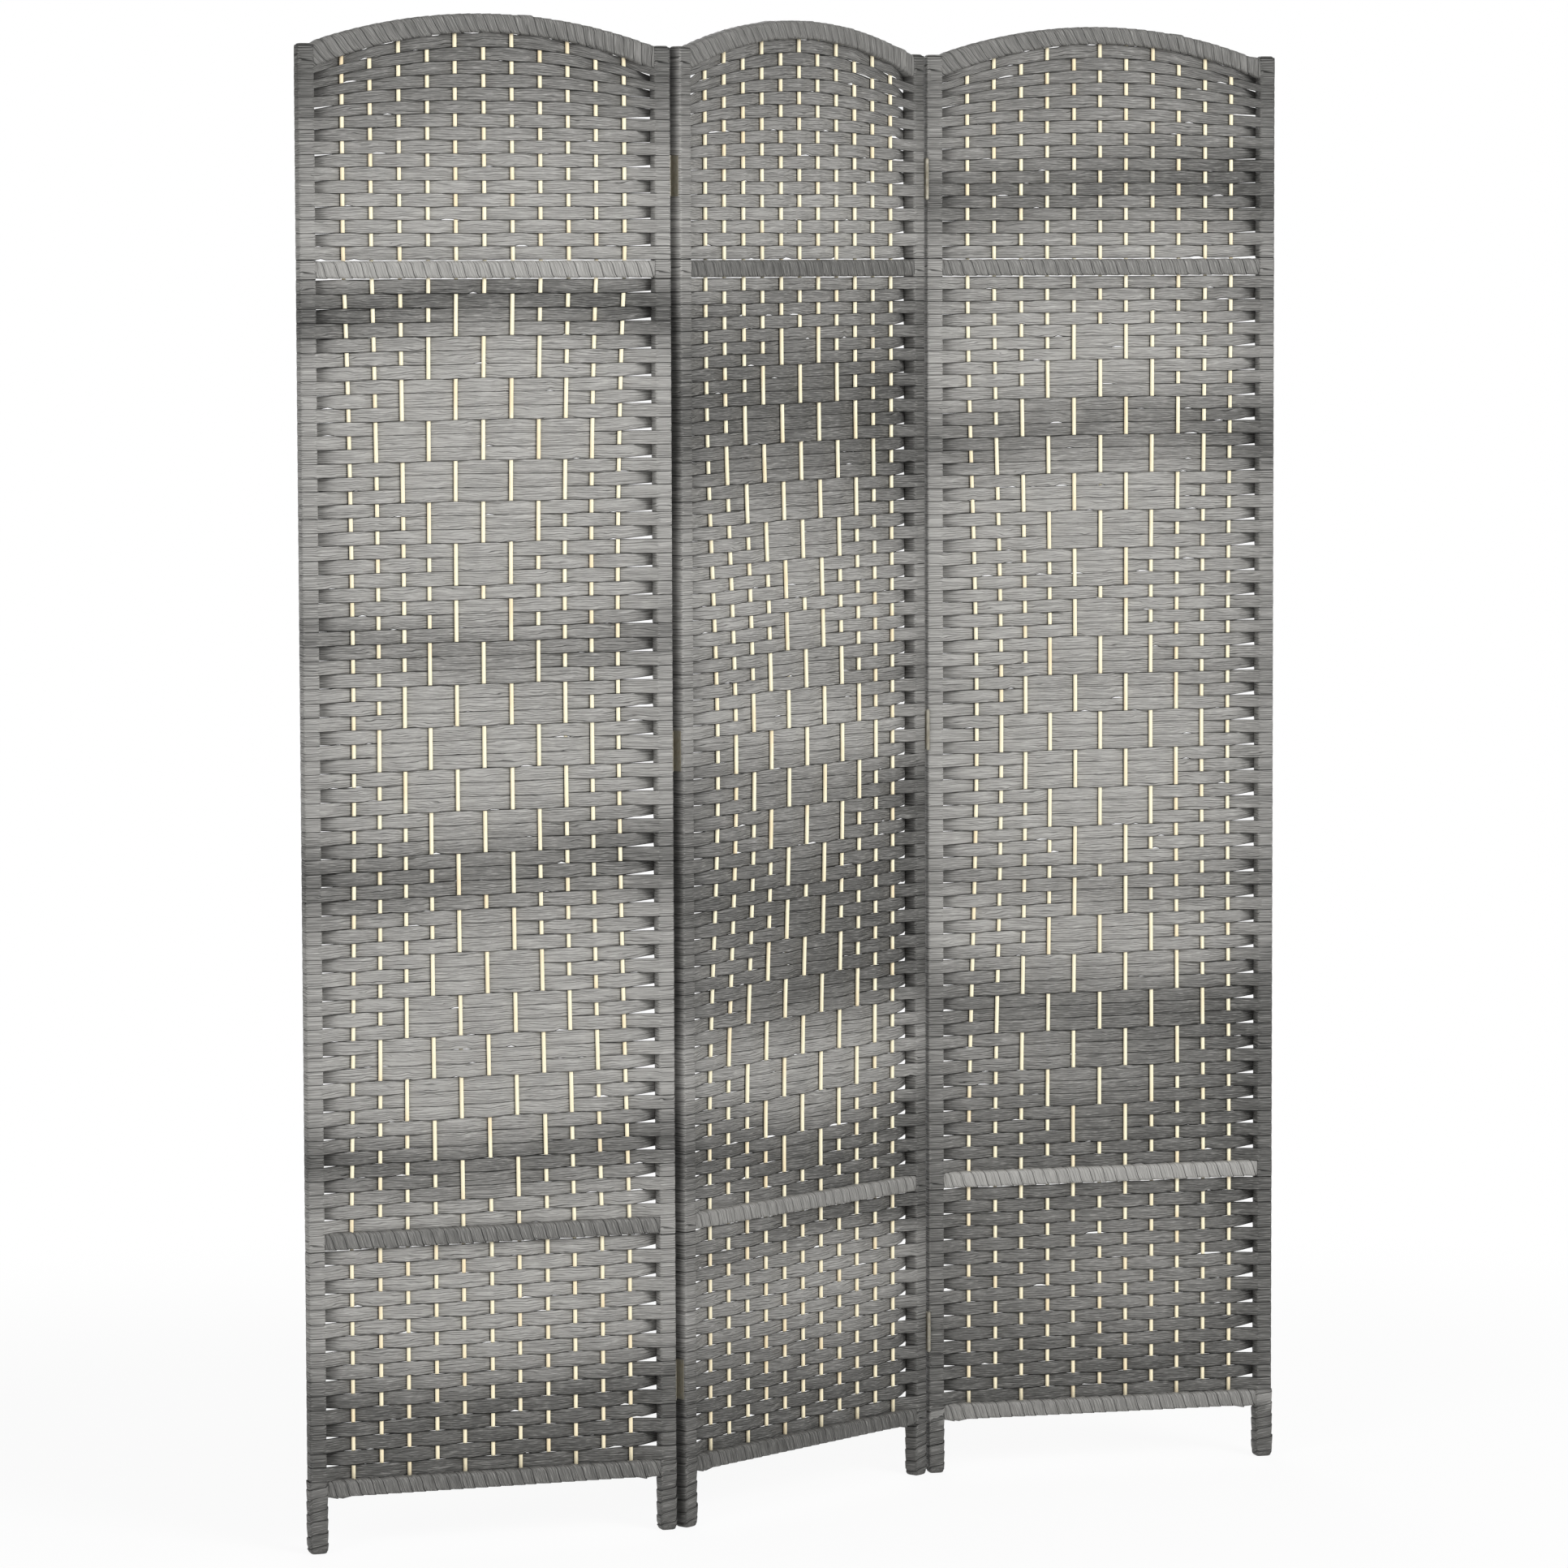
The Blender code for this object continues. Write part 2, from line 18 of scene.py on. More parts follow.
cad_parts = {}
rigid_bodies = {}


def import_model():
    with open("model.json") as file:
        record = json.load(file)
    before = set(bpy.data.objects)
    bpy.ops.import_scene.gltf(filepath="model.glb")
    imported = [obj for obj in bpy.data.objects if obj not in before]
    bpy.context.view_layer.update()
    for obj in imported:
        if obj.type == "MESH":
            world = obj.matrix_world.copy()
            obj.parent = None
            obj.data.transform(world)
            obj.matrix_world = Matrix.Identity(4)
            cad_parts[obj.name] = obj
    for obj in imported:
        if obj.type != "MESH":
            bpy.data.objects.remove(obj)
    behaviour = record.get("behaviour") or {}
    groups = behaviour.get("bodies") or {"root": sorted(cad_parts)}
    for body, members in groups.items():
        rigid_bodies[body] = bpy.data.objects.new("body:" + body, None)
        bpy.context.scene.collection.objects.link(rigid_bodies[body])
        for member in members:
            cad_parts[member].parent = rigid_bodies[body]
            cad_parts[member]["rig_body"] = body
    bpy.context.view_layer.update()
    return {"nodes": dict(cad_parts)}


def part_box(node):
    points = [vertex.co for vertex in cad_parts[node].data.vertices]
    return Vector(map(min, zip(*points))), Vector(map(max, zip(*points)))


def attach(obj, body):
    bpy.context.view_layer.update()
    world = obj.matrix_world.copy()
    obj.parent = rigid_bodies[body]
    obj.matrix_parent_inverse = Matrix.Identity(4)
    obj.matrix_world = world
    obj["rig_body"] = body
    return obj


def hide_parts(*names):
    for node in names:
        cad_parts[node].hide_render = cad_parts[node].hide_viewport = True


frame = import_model()

bl_info = {
    "name": "Woven Room Divider",
    "version": (1, 0, 0),
    "blender": (4, 5, 0),
    "location": "View3D > Sidebar > Divider",
    "description": "Weaves, winds and finishes a three-panel folding room divider",
    "category": "Object",
}

# The frame's sizes, read from the solids
SIDES = ("left", "middle", "right")
RAILS = ("upper", "lower", "bottom")
STICK_COUNT = 11
SPANS = STICK_COUNT + 1


def middle_of(node):
    low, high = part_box(node)
    return (low + high) / 2


def stiles_of(side):
    """Middles of a panel's left and right stile, seen from above."""
    return [middle_of(f"{side}_panel_{end}_stile").xy for end in ("left", "right")]


def panel_place(side):
    """Matrix from a panel's own frame to the world."""
    left, right = stiles_of(side)
    along = (right - left).normalized()
    start = left - along * STILE_HALF
    turn = Matrix.Rotation(math.atan2(along.y, along.x), 4, "Z")
    return Matrix.Translation((start.x, start.y, 0)) @ turn


# Half sizes of the wound stiles and rails, where the sticks stand, and what follows from the solids
STILE_HALF = 0.00955
RAIL_HALF_HEIGHT = 0.0100
RAIL_HALF_DEPTH = 0.0090
LEFT_STILE, RIGHT_STILE = stiles_of("middle")
PANEL_WIDTH = (RIGHT_STILE - LEFT_STILE).length + 2 * STILE_HALF
INNER_LEFT = 2 * STILE_HALF
INNER_RIGHT = PANEL_WIDTH - INNER_LEFT
STILE_X = {"left": STILE_HALF, "right": PANEL_WIDTH - STILE_HALF}
STICK_RADIUS = 0.0024
FIRST_STICK_X = 0.0540
STICK_SPACING = (PANEL_WIDTH - 2 * FIRST_STICK_X) / (STICK_COUNT - 1)
RIBBON_FIT = 0.0013
STILE_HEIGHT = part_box("middle_panel_left_stile")[1].z + RIBBON_FIT
CROWN_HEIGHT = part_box("middle_panel_top_rail_winding")[1].z
ARCH_RISE = CROWN_HEIGHT - STILE_HEIGHT
ARCH_RADIUS = (INNER_RIGHT - INNER_LEFT) ** 2 / (8 * ARCH_RISE) + ARCH_RISE / 2
RAIL_Z = {rail: middle_of(f"middle_panel_{rail}_rail_winding").z for rail in RAILS}
RAIL_TOPS = {rail: z + RAIL_HALF_HEIGHT for rail, z in RAIL_Z.items()}
FOOT_TOP = RAIL_Z["bottom"] - RAIL_HALF_HEIGHT

# Rows of each woven section from the top down: how many, whether an odd row shows the odd sticks,
# the first row of the diamonds and how many diamonds there are
PANEL_ROWS = {
    "left": (("top", 17, 0, 0, 0), ("middle", 68, 1, 2, 3), ("bottom", 16, 1, 0, 0)),
    "middle": (("top", 17, 1, 0, 0), ("middle", 71, 0, 5, 3), ("bottom", 17, 0, 0, 0)),
    "right": (("top", 17, 1, 0, 0), ("middle", 71, 0, 5, 3), ("bottom", 17, 0, 0, 0)),
}

# How light the dye is between its dark bands, how far the bands bend, and the bands of each panel:
# height of the middle, half height and depth from 0 to 1
LIGHT_DYE = 0.95
BAND_BEND = 0.012
DYE_BANDS = {
    "left": (
        (1.765, 0.095, 0.78), (1.463, 0.032, 0.88), (1.068, 0.030, 0.48), (0.800, 0.045, 0.68),
        (0.460, 0.032, 0.76), (0.352, 0.018, 0.10), (0.138, 0.064, 0.92), (0.03, 0.09, 0.92),
    ),
    "middle": (
        (1.76, 0.080, 0.70), (1.62, 0.045, 0.22), (1.460, 0.020, 0.24), (1.335, 0.114, 0.90),
        (1.020, 0.035, 0.33), (0.885, 0.035, 0.38), (0.752, 0.094, 0.88), (0.630, 0.045, 0.55),
        (0.428, 0.058, 0.90), (0.336, 0.034, 0.54), (0.10, 0.110, 1.02),
    ),
    "right": (
        (1.75, 0.075, 0.60), (1.60, 0.045, 0.76), (1.475, 0.025, 0.30), (1.300, 0.038, 0.66),
        (0.99, 0.020, 0.14), (0.742, 0.026, 0.36), (0.585, 0.045, 0.68), (0.47, 0.075, 0.48),
        (0.345, 0.09, 0.70), (0.10, 0.112, 0.98),
    ),
}
# How much painted shade darkens the ribbon towards a panel's left and right side, where the light falls
# off, and how much darker it is on its stiles, and over which shares of the panel's width the side shade
# grows
PAINTED_SIDE_SHADES = {"left": (0.16, 0.14), "middle": (0.02, 0.30), "right": (0.04, 0.42)}
PAINTED_SIDE_SHADE_REACHES = (0.35, 0.45)
STILE_FADE = 0.02
STILE_FADE_WIDTH = 0.024
PAINTED_SEAM_SHADE_WIDTH = 0.004
# Painted shade on each panel's left side face at the seam, as heights and shares, painting light where
# below 0
PAINTED_SEAM_LIGHT_AND_SHADE = {
    "left": ((0.0, 1.8), (0.0, 0.0)),
    "middle": ((0.20, 0.60, 0.80, 1.40, 1.60, 1.75), (-0.10, -0.12, 0.02, 0.02, -0.34, -0.34)),
    "right": ((0.0, 1.8), (-0.28, -0.28)),
}
# How much darker the back half of each panel's left side face is, deep in the seam, how deep that
# face counts and how softly the shade starts
SEAM_SHADOWS = {"left": 0.0, "middle": 0.60, "right": 0.12}
SIDE_FACE_DEPTH = 0.0015
SEAM_SOFTNESS = 0.004
# How light the ribbon wound on the feet and on each rail is
FOOT_DYE = 0.0
WINDING_DYE = {
    "left": {"top": 0.21, "upper": 0.80, "lower": 0.21, "bottom": 0.14},
    "middle": {"top": 0.27, "upper": 0.10, "lower": 0.54, "bottom": 0.02},
    "right": {"top": 0.23, "upper": 0.33, "lower": 0.86, "bottom": 0.45},
}


def metres(name, description, default, **limits):
    """A size in metres that a user may change."""
    return FloatProperty(name=name, description=description, default=default, unit="LENGTH", **limits)


def tint(name, description, default):
    """A colour that a user may change."""
    return FloatVectorProperty(
        name=name, description=description, default=default, subtype="COLOR", min=0.0, max=1.0
    )


class DividerWeave(PropertyGroup):
    thickness: metres("Ribbon Thickness", "Thickness of the flat paper ribbon", 0.0009, min=0.0002)
    swell: metres("Edge Swell", "How far a row's edge moves where the ribbon crosses a stick", 0.00015)
    row_gap: metres("Row Gap", "Space between neighbouring rows", -0.0005)
    wander: metres("Wander", "How far the rows stray from level", 0.0006)
    slit: metres("Slit", "Height of the small open slits between rows", 0.0019)
    seed: IntProperty(name="Seed", description="Changes the small irregularities", default=7)


class DividerWindings(PropertyGroup):
    thickness: metres("Ribbon Thickness", "Thickness of the wound ribbon", 0.0007, min=0.0002)
    pitch: metres("Turn Spacing", "Distance from one turn to the next", 0.0122, min=0.004)
    overlap: FloatProperty(
        name="Overlap", description="Share by which a turn is wider than the spacing",
        default=0.35, subtype="FACTOR",
    )
    wander: metres("Wander", "How unevenly the turns are spaced", 0.0045)


class DividerFinishes(PropertyGroup):
    ribbon_light: tint("Light Ribbon", "Palest grey of the dyed ribbon", (0.437, 0.429, 0.409))
    ribbon_dark: tint("Dark Ribbon", "Darkest grey of the dyed ribbon", (0.078, 0.077, 0.073))
    stick: tint("Stick", "Colour of the peeled sticks", (0.99, 0.925, 0.69))
    wood: tint("Frame Wood", "Colour of the frame under the ribbon", (0.66, 0.46, 0.26))
    brass: tint("Brass", "Colour of the hinges", (0.37, 0.35, 0.29))


class DividerStage(PropertyGroup):
    lens: FloatProperty(name="Lens", description="Focal length in millimetres", default=146.83)
    lamp_power: FloatProperty(
        name="Lamp Power", description="Power of the large front lamp", default=215.0, unit="POWER",
    )
    sky: FloatProperty(
        name="Surroundings", description="Strength of the even light all round", default=0.45,
    )


def math_method(operation, reflected=False):
    """A method of Value that adds one Math node."""
    if reflected:
        return lambda value, other: value.tree.math(operation, other, value)
    return lambda value, *others: value.tree.math(operation, value, *others)


class Value:
    """A number in a node tree. Arithmetic on it adds Math nodes."""

    def __init__(self, tree, socket):
        self.tree = tree
        self.socket = socket

    __add__, __radd__ = math_method("ADD"), math_method("ADD", True)
    __sub__, __rsub__ = math_method("SUBTRACT"), math_method("SUBTRACT", True)
    __mul__, __rmul__ = math_method("MULTIPLY"), math_method("MULTIPLY", True)
    __truediv__, __rtruediv__ = math_method("DIVIDE"), math_method("DIVIDE", True)
    __pow__, __mod__ = math_method("POWER"), math_method("FLOORED_MODULO")
    __gt__, __lt__ = math_method("GREATER_THAN"), math_method("LESS_THAN")
    __abs__, sign, floor = math_method("ABSOLUTE"), math_method("SIGN"), math_method("FLOOR")
    least, most = math_method("MINIMUM"), math_method("MAXIMUM")
    sine, cosine, root = math_method("SINE"), math_method("COSINE"), math_method("SQRT")

    def __neg__(self):
        return self * -1.0

    def between(self, low, high):
        return self.most(low).least(high)

    def clamped(self):
        return self.between(0.0, 1.0)

    def eased(self):
        """Smooth step of a value from 0 to 1."""
        return self * self * (3 - 2 * self)

    def ramp(self, low, high):
        """0 below low, 1 above high and smooth between."""
        return ((self - low) / (high - low)).clamped().eased()

    def towards(self, other, share):
        return self + (other - self) * share

    def rounded_power(self, power):
        """The value's size raised to a power, with its sign kept."""
        return self.sign() * abs(self) ** power

    def square_turn(self, power):
        """The cosine and sine of a turn, drawn out to a square with soft corners."""
        return self.cosine().rounded_power(power), self.sine().rounded_power(power)


class Tree:
    """A node tree that is being built."""

    def __init__(self, tree):
        self.tree = tree
        self.tree.nodes.clear()

    def node(self, kind, sockets=None, **settings):
        made = self.tree.nodes.new(kind)
        for name, value in settings.items():
            setattr(made, name, value)
        for key, value in (sockets or {}).items():
            self.feed(made.inputs[key], value)
        return made

    def feed(self, socket, value):
        if isinstance(value, Value):
            value = value.socket
        if isinstance(value, bpy.types.NodeSocket):
            self.tree.links.new(value, socket)
        else:
            socket.default_value = value

    def value(self, kind, sockets=None, output=0, **settings):
        return Value(self, self.node(kind, sockets, **settings).outputs[output])

    def math(self, operation, *values):
        return self.value("ShaderNodeMath", dict(enumerate(values)), operation=operation)

    def vector(self, x, y, z):
        return self.node("ShaderNodeCombineXYZ", {0: x, 1: y, 2: z}).outputs[0]

    def parts(self, vector):
        made = self.node("ShaderNodeSeparateXYZ", {0: vector})
        return [Value(self, socket) for socket in made.outputs]

    def object_place(self):
        return self.parts(self.node("ShaderNodeTexCoord").outputs["Object"])

    def noise(self, x, y, z, detail=1.0):
        sockets = {"Vector": self.vector(x, y, z), "Scale": 1.0, "Detail": detail}
        return self.value("ShaderNodeTexNoise", sockets)

    def curve(self, place, points):
        """Straight lines through points, as (place, height) pairs in rising order."""
        height = points[0][1]
        for (near, low), (far, high) in zip(points, points[1:]):
            share = ((place - near) / (far - near)).clamped()
            height = height + (high - low) * share
        return height

    def mix(self, share, low, high):
        """Mixes two colours."""
        sockets = {"Factor": share, 6: low, 7: high}
        return self.node("ShaderNodeMix", sockets, data_type="RGBA").outputs[2]


class GeometryTree(Tree):
    """A Geometry Nodes tree with named inputs."""

    def __init__(self, name):
        super().__init__(bpy.data.node_groups.new(name, "GeometryNodeTree"))
        self.entry = self.node("NodeGroupInput")
        self.exit = self.node("NodeGroupOutput")

    def input(self, name, kind="Float"):
        self.tree.interface.new_socket(name, in_out="INPUT", socket_type=f"NodeSocket{kind}")
        socket = self.entry.outputs[name]
        return Value(self, socket) if kind in ("Float", "Int") else socket

    def inputs(self, *names):
        return [self.input(name) for name in names]

    def output(self, name, value, kind="Geometry"):
        self.tree.interface.new_socket(name, in_out="OUTPUT", socket_type=f"NodeSocket{kind}")
        self.feed(self.exit.inputs[name], value)

    def geometry(self, kind, sockets=None, **settings):
        return self.node(kind, sockets, **settings).outputs[0]

    def point(self):
        """The x, y and z of each point."""
        return self.parts(self.geometry("GeometryNodeInputPosition"))

    def stored(self, geometry, name, value, kind="FLOAT", domain="POINT"):
        sockets = {"Geometry": geometry, "Name": name, "Value": value}
        return self.geometry("GeometryNodeStoreNamedAttribute", sockets, data_type=kind, domain=domain)

    def unwrapped(self, geometry, along, across):
        """The geometry with its place along and across the ribbon as a UV map."""
        return self.stored(geometry, "UVMap", self.vector(along, across, 0.0), "FLOAT2", "CORNER")

    def named(self, name):
        return self.value("GeometryNodeInputNamedAttribute", {"Name": name}, data_type="FLOAT")

    def moved(self, geometry, x, y, z):
        sockets = {"Geometry": geometry, "Position": self.vector(x, y, z)}
        return self.geometry("GeometryNodeSetPosition", sockets)

    def tube(self, sides, segments):
        """A closed tube of radius 1 along Z from -0.5 to 0.5."""
        sockets = {"Vertices": sides, "Side Segments": segments, "Radius": 1.0, "Depth": 1.0}
        return self.geometry("GeometryNodeMeshCylinder", sockets, fill_type="NGON")

    def copies(self, count, geometry, name):
        """Copies of a mesh, all in one place, with their number kept as an attribute."""
        points = self.geometry("GeometryNodePoints", {"Count": count})
        points = self.stored(points, name, self.geometry("GeometryNodeInputIndex"))
        return self.real(self.set_on(points, geometry))

    def set_on(self, points, geometry):
        return self.geometry("GeometryNodeInstanceOnPoints", {"Points": points, "Instance": geometry})

    def real(self, geometry):
        return self.geometry("GeometryNodeRealizeInstances", {"Geometry": geometry})

    def group(self, tree, sockets):
        """The outputs of another tree used as a node."""
        made = self.node("GeometryNodeGroup", sockets, node_tree=tree)
        return [Value(self, socket) for socket in made.outputs]

    def finish(self, geometry, material):
        """Ends the tree with real geometry in its material, shaded smooth."""
        geometry = self.real(self.geometry("GeometryNodeSetShadeSmooth", {"Geometry": geometry}))
        sockets = {"Geometry": geometry, "Material": material}
        self.output("Geometry", self.geometry("GeometryNodeSetMaterial", sockets))
        return self.tree


class ShaderTree(Tree):
    """The node tree of a new material."""

    def __init__(self, name):
        self.material = bpy.data.materials.new(name)
        self.material.use_nodes = True
        super().__init__(self.material.node_tree)

    def bump(self, height, distance):
        sockets = {"Height": height, "Distance": distance, "Strength": 1.0}
        return self.node("ShaderNodeBump", sockets).outputs[0]

    def finish(self, surface):
        self.node("ShaderNodeOutputMaterial", {"Surface": surface.outputs[0]})
        return self.material

    def principled(self, sockets):
        return self.finish(self.node("ShaderNodeBsdfPrincipled", sockets))


# Mesh steps: round a ribbon's section, of its loop round a stile, from stick to stick, round and up a
# stick, of a wound turn, round a pad and round a screw
SECTION_SIDES = 8
LOOP_STEPS = 16
SPAN_STEPS = 5
STICK_SIDES = 12
STICK_STEPS = 44
TURN_STEPS = 24
PAD_SIDES = 24
SCREW_SIDES = 20
# The diamonds: rows from one to the next and in each, rows of a group, and the widest group and stick
DIAMOND_PERIOD = 22
DIAMOND_ROWS = 21
GROUP_ROWS = 3
WIDEST_GROUP = 4
MIDDLE_GROUP = 3
MIDDLE_STICK = 6
# Powers that turn a circle into a flat ribbon's section and into the stiles' and rails' squares
EDGE_ROUNDING = 0.45
STILE_SQUARENESS = 0.28
RAIL_SQUARENESS = 0.42
# How far the ribbon stands proud of the stiles, at the feet beside a seam, at the outer feet and on
# top, and how far a foot's turns end above the floor
WRAP_SWELL = 0.0007
SEAM_FOOT_SWELL = 0.0006
OUTER_FOOT_SWELL = 0.0014
STILE_TOP_SWELL = 0.0060
FOOT_CLEARANCE = 0.0012
# A row's loop round a stile: where it starts, how far it turns and its length
LOOP_START = math.radians(30)
LOOP_SWEEP = math.radians(345)
STILE_GIRTH = 0.073
# A row beside the stiles: its clearance to a stick and how late it leaves the sticks' plane
STICK_CLEARANCE = 0.0002
STILE_LEAVE = 2.6
# The first row goes up behind the arch: by how much, and how near the stiles
ARCH_TUCK = 0.0028
ARCH_TUCK_REACH = 0.05
# Open wedges beside the stiles: reach along the row, least height and what chance adds
LEFT_WEDGE = (0.030, 0.0007, 0.0022)
RIGHT_WEDGE = (0.042, 0.0014, 0.0026)
# Wound turns: ripple of the edge, reach of a rounded end and of the arch's shoulder, place of the tail
TURN_RIPPLE = 0.0016
ROUNDED_REACH = 0.0045
SHOULDER_REACH = 0.014
TAIL_PLACE = 0.018
TAIL_REACH = 0.012
# A pad's rings: share of its half width, and height under its outer face
PAD_STEPS = ((0.94, -0.0060), (0.93, -0.0036), (0.89, -0.0018), (0.81, -0.0006), (0.68, 0.0))
# Gaps between the first row and the arch, between a row and the rail over it, and the lap on a rail
ARCH_SLIT = 0.0012
RAIL_SLIT = 0.0014
RAIL_LAP = 0.0004
# Hinges: width of a leaf, and the screws' radius, depth and spacing
LEAF_WIDTH = 0.0160
SCREW_RADIUS = 0.00155
SCREW_DEPTH = 0.0008
SCREW_SPACING = 0.0170
# How much the layers of ribbon lift the arch's winding at its left and right ends
ARCH_RISES = {"left": (0.0085, 0.0055), "middle": (0.0060, 0.0045), "right": (0.0070, 0.0010)}

# How the ribbon's pull bows each panel's sticks at mid height: the shift of the first stick, of those
# a third and two thirds of the way across and of the last, the bulge to the front, and the bow's form
BOW_INPUTS = ("First", "Third", "Two Thirds", "Last", "Bulge", "Lean", "Sharpness")
BOWS = {
    "left": (0.008, -0.003, -0.0055, -0.011, 0.0, 0.8, 1.0),
    "middle": (0.0118, 0.0042, 0.0003, -0.0061, 0.008, 1.05, 3.0),
    "right": (0.011, 0.003, -0.0015, -0.0035, 0.0, 1.0, 2.0),
}

# How far the middle section's rows ride up at set shares of the way down it, and how much less they
# do so beside the left stile
LIFT_PLACES = (0.10, 0.28, 0.55, 0.75, 0.90)
LIFT_INPUTS = ("Lift 1", "Lift 2", "Lift 3", "Lift 4", "Lift 5", "Tilt")
LIFTS = {
    "left": (0.0, 0.0050, 0.0014, -0.0018, -0.0013, 0.0030),
    "middle": (0.0080, 0.0085, 0.0085, 0.0030, -0.0005, 0.0065),
    "right": (0.0078, 0.0088, 0.0088, 0.0040, 0.0010, 0.0038),
}
# How quickly the arch's form fades in the rows under it
BUNCHING = {"left": 4.2, "middle": 2.8, "right": 3.8}


def side_of_stick_tree():
    """Gives 1 where a row's ribbon passes in front of a stick, and -1 where it passes behind."""
    tree = GeometryTree("Side Of Stick")
    stick, row, parity, first, diamonds = tree.inputs("Stick", "Row", "Parity", "First Row", "Diamonds")
    plain = (stick + row + parity) % 2 * 2 - 1
    along = row - first
    in_run = (along > -0.5) * (along < diamonds * DIAMOND_PERIOD - 0.5)
    phase = along % DIAMOND_PERIOD
    group = (phase / GROUP_ROWS).floor()
    half_width = WIDEST_GROUP - abs(group - MIDDLE_GROUP)
    away = abs(stick - MIDDLE_STICK)
    inside = in_run * (phase < DIAMOND_ROWS - 0.5) * (away < half_width + 0.5)
    diamond = (half_width - away) % 2 * 2 - 1
    tree.output("Side", plain.towards(diamond, inside), "Float")
    return tree.tree


def stick_bow_tree():
    """How far the ribbon's pull shifts a stick along its panel and out of its plane."""
    tree = GeometryTree("Stick Bow")
    stick, height, *shifts = tree.inputs("Stick", "Height", *BOW_INPUTS[:4])
    bulge, lean, sharpness = tree.inputs(*BOW_INPUTS[4:])
    fall = (RAIL_Z["upper"] - height) / (RAIL_Z["upper"] - RAIL_Z["lower"])
    wave = (fall.clamped() ** lean * math.pi).sine().most(0.0) ** sharpness
    third = (stick - 1) * (3 / (STICK_COUNT - 1))
    shift = tree.curve(third, list(enumerate(shifts)))
    share = (stick / SPANS).clamped()
    held = stick.clamped() * (SPANS - stick).clamped()
    tree.output("Along", shift * wave * held, "Float")
    tree.output("Out", bulge * wave * (share * (1 - share) * 4).most(0.0) ** 0.2, "Float")
    return tree.tree


def arch_drop(x, radius):
    """How far below its crown an arch of this radius is at a place across the panel."""
    from_middle = x - PANEL_WIDTH / 2
    return radius - (radius**2 - from_middle * from_middle).root()


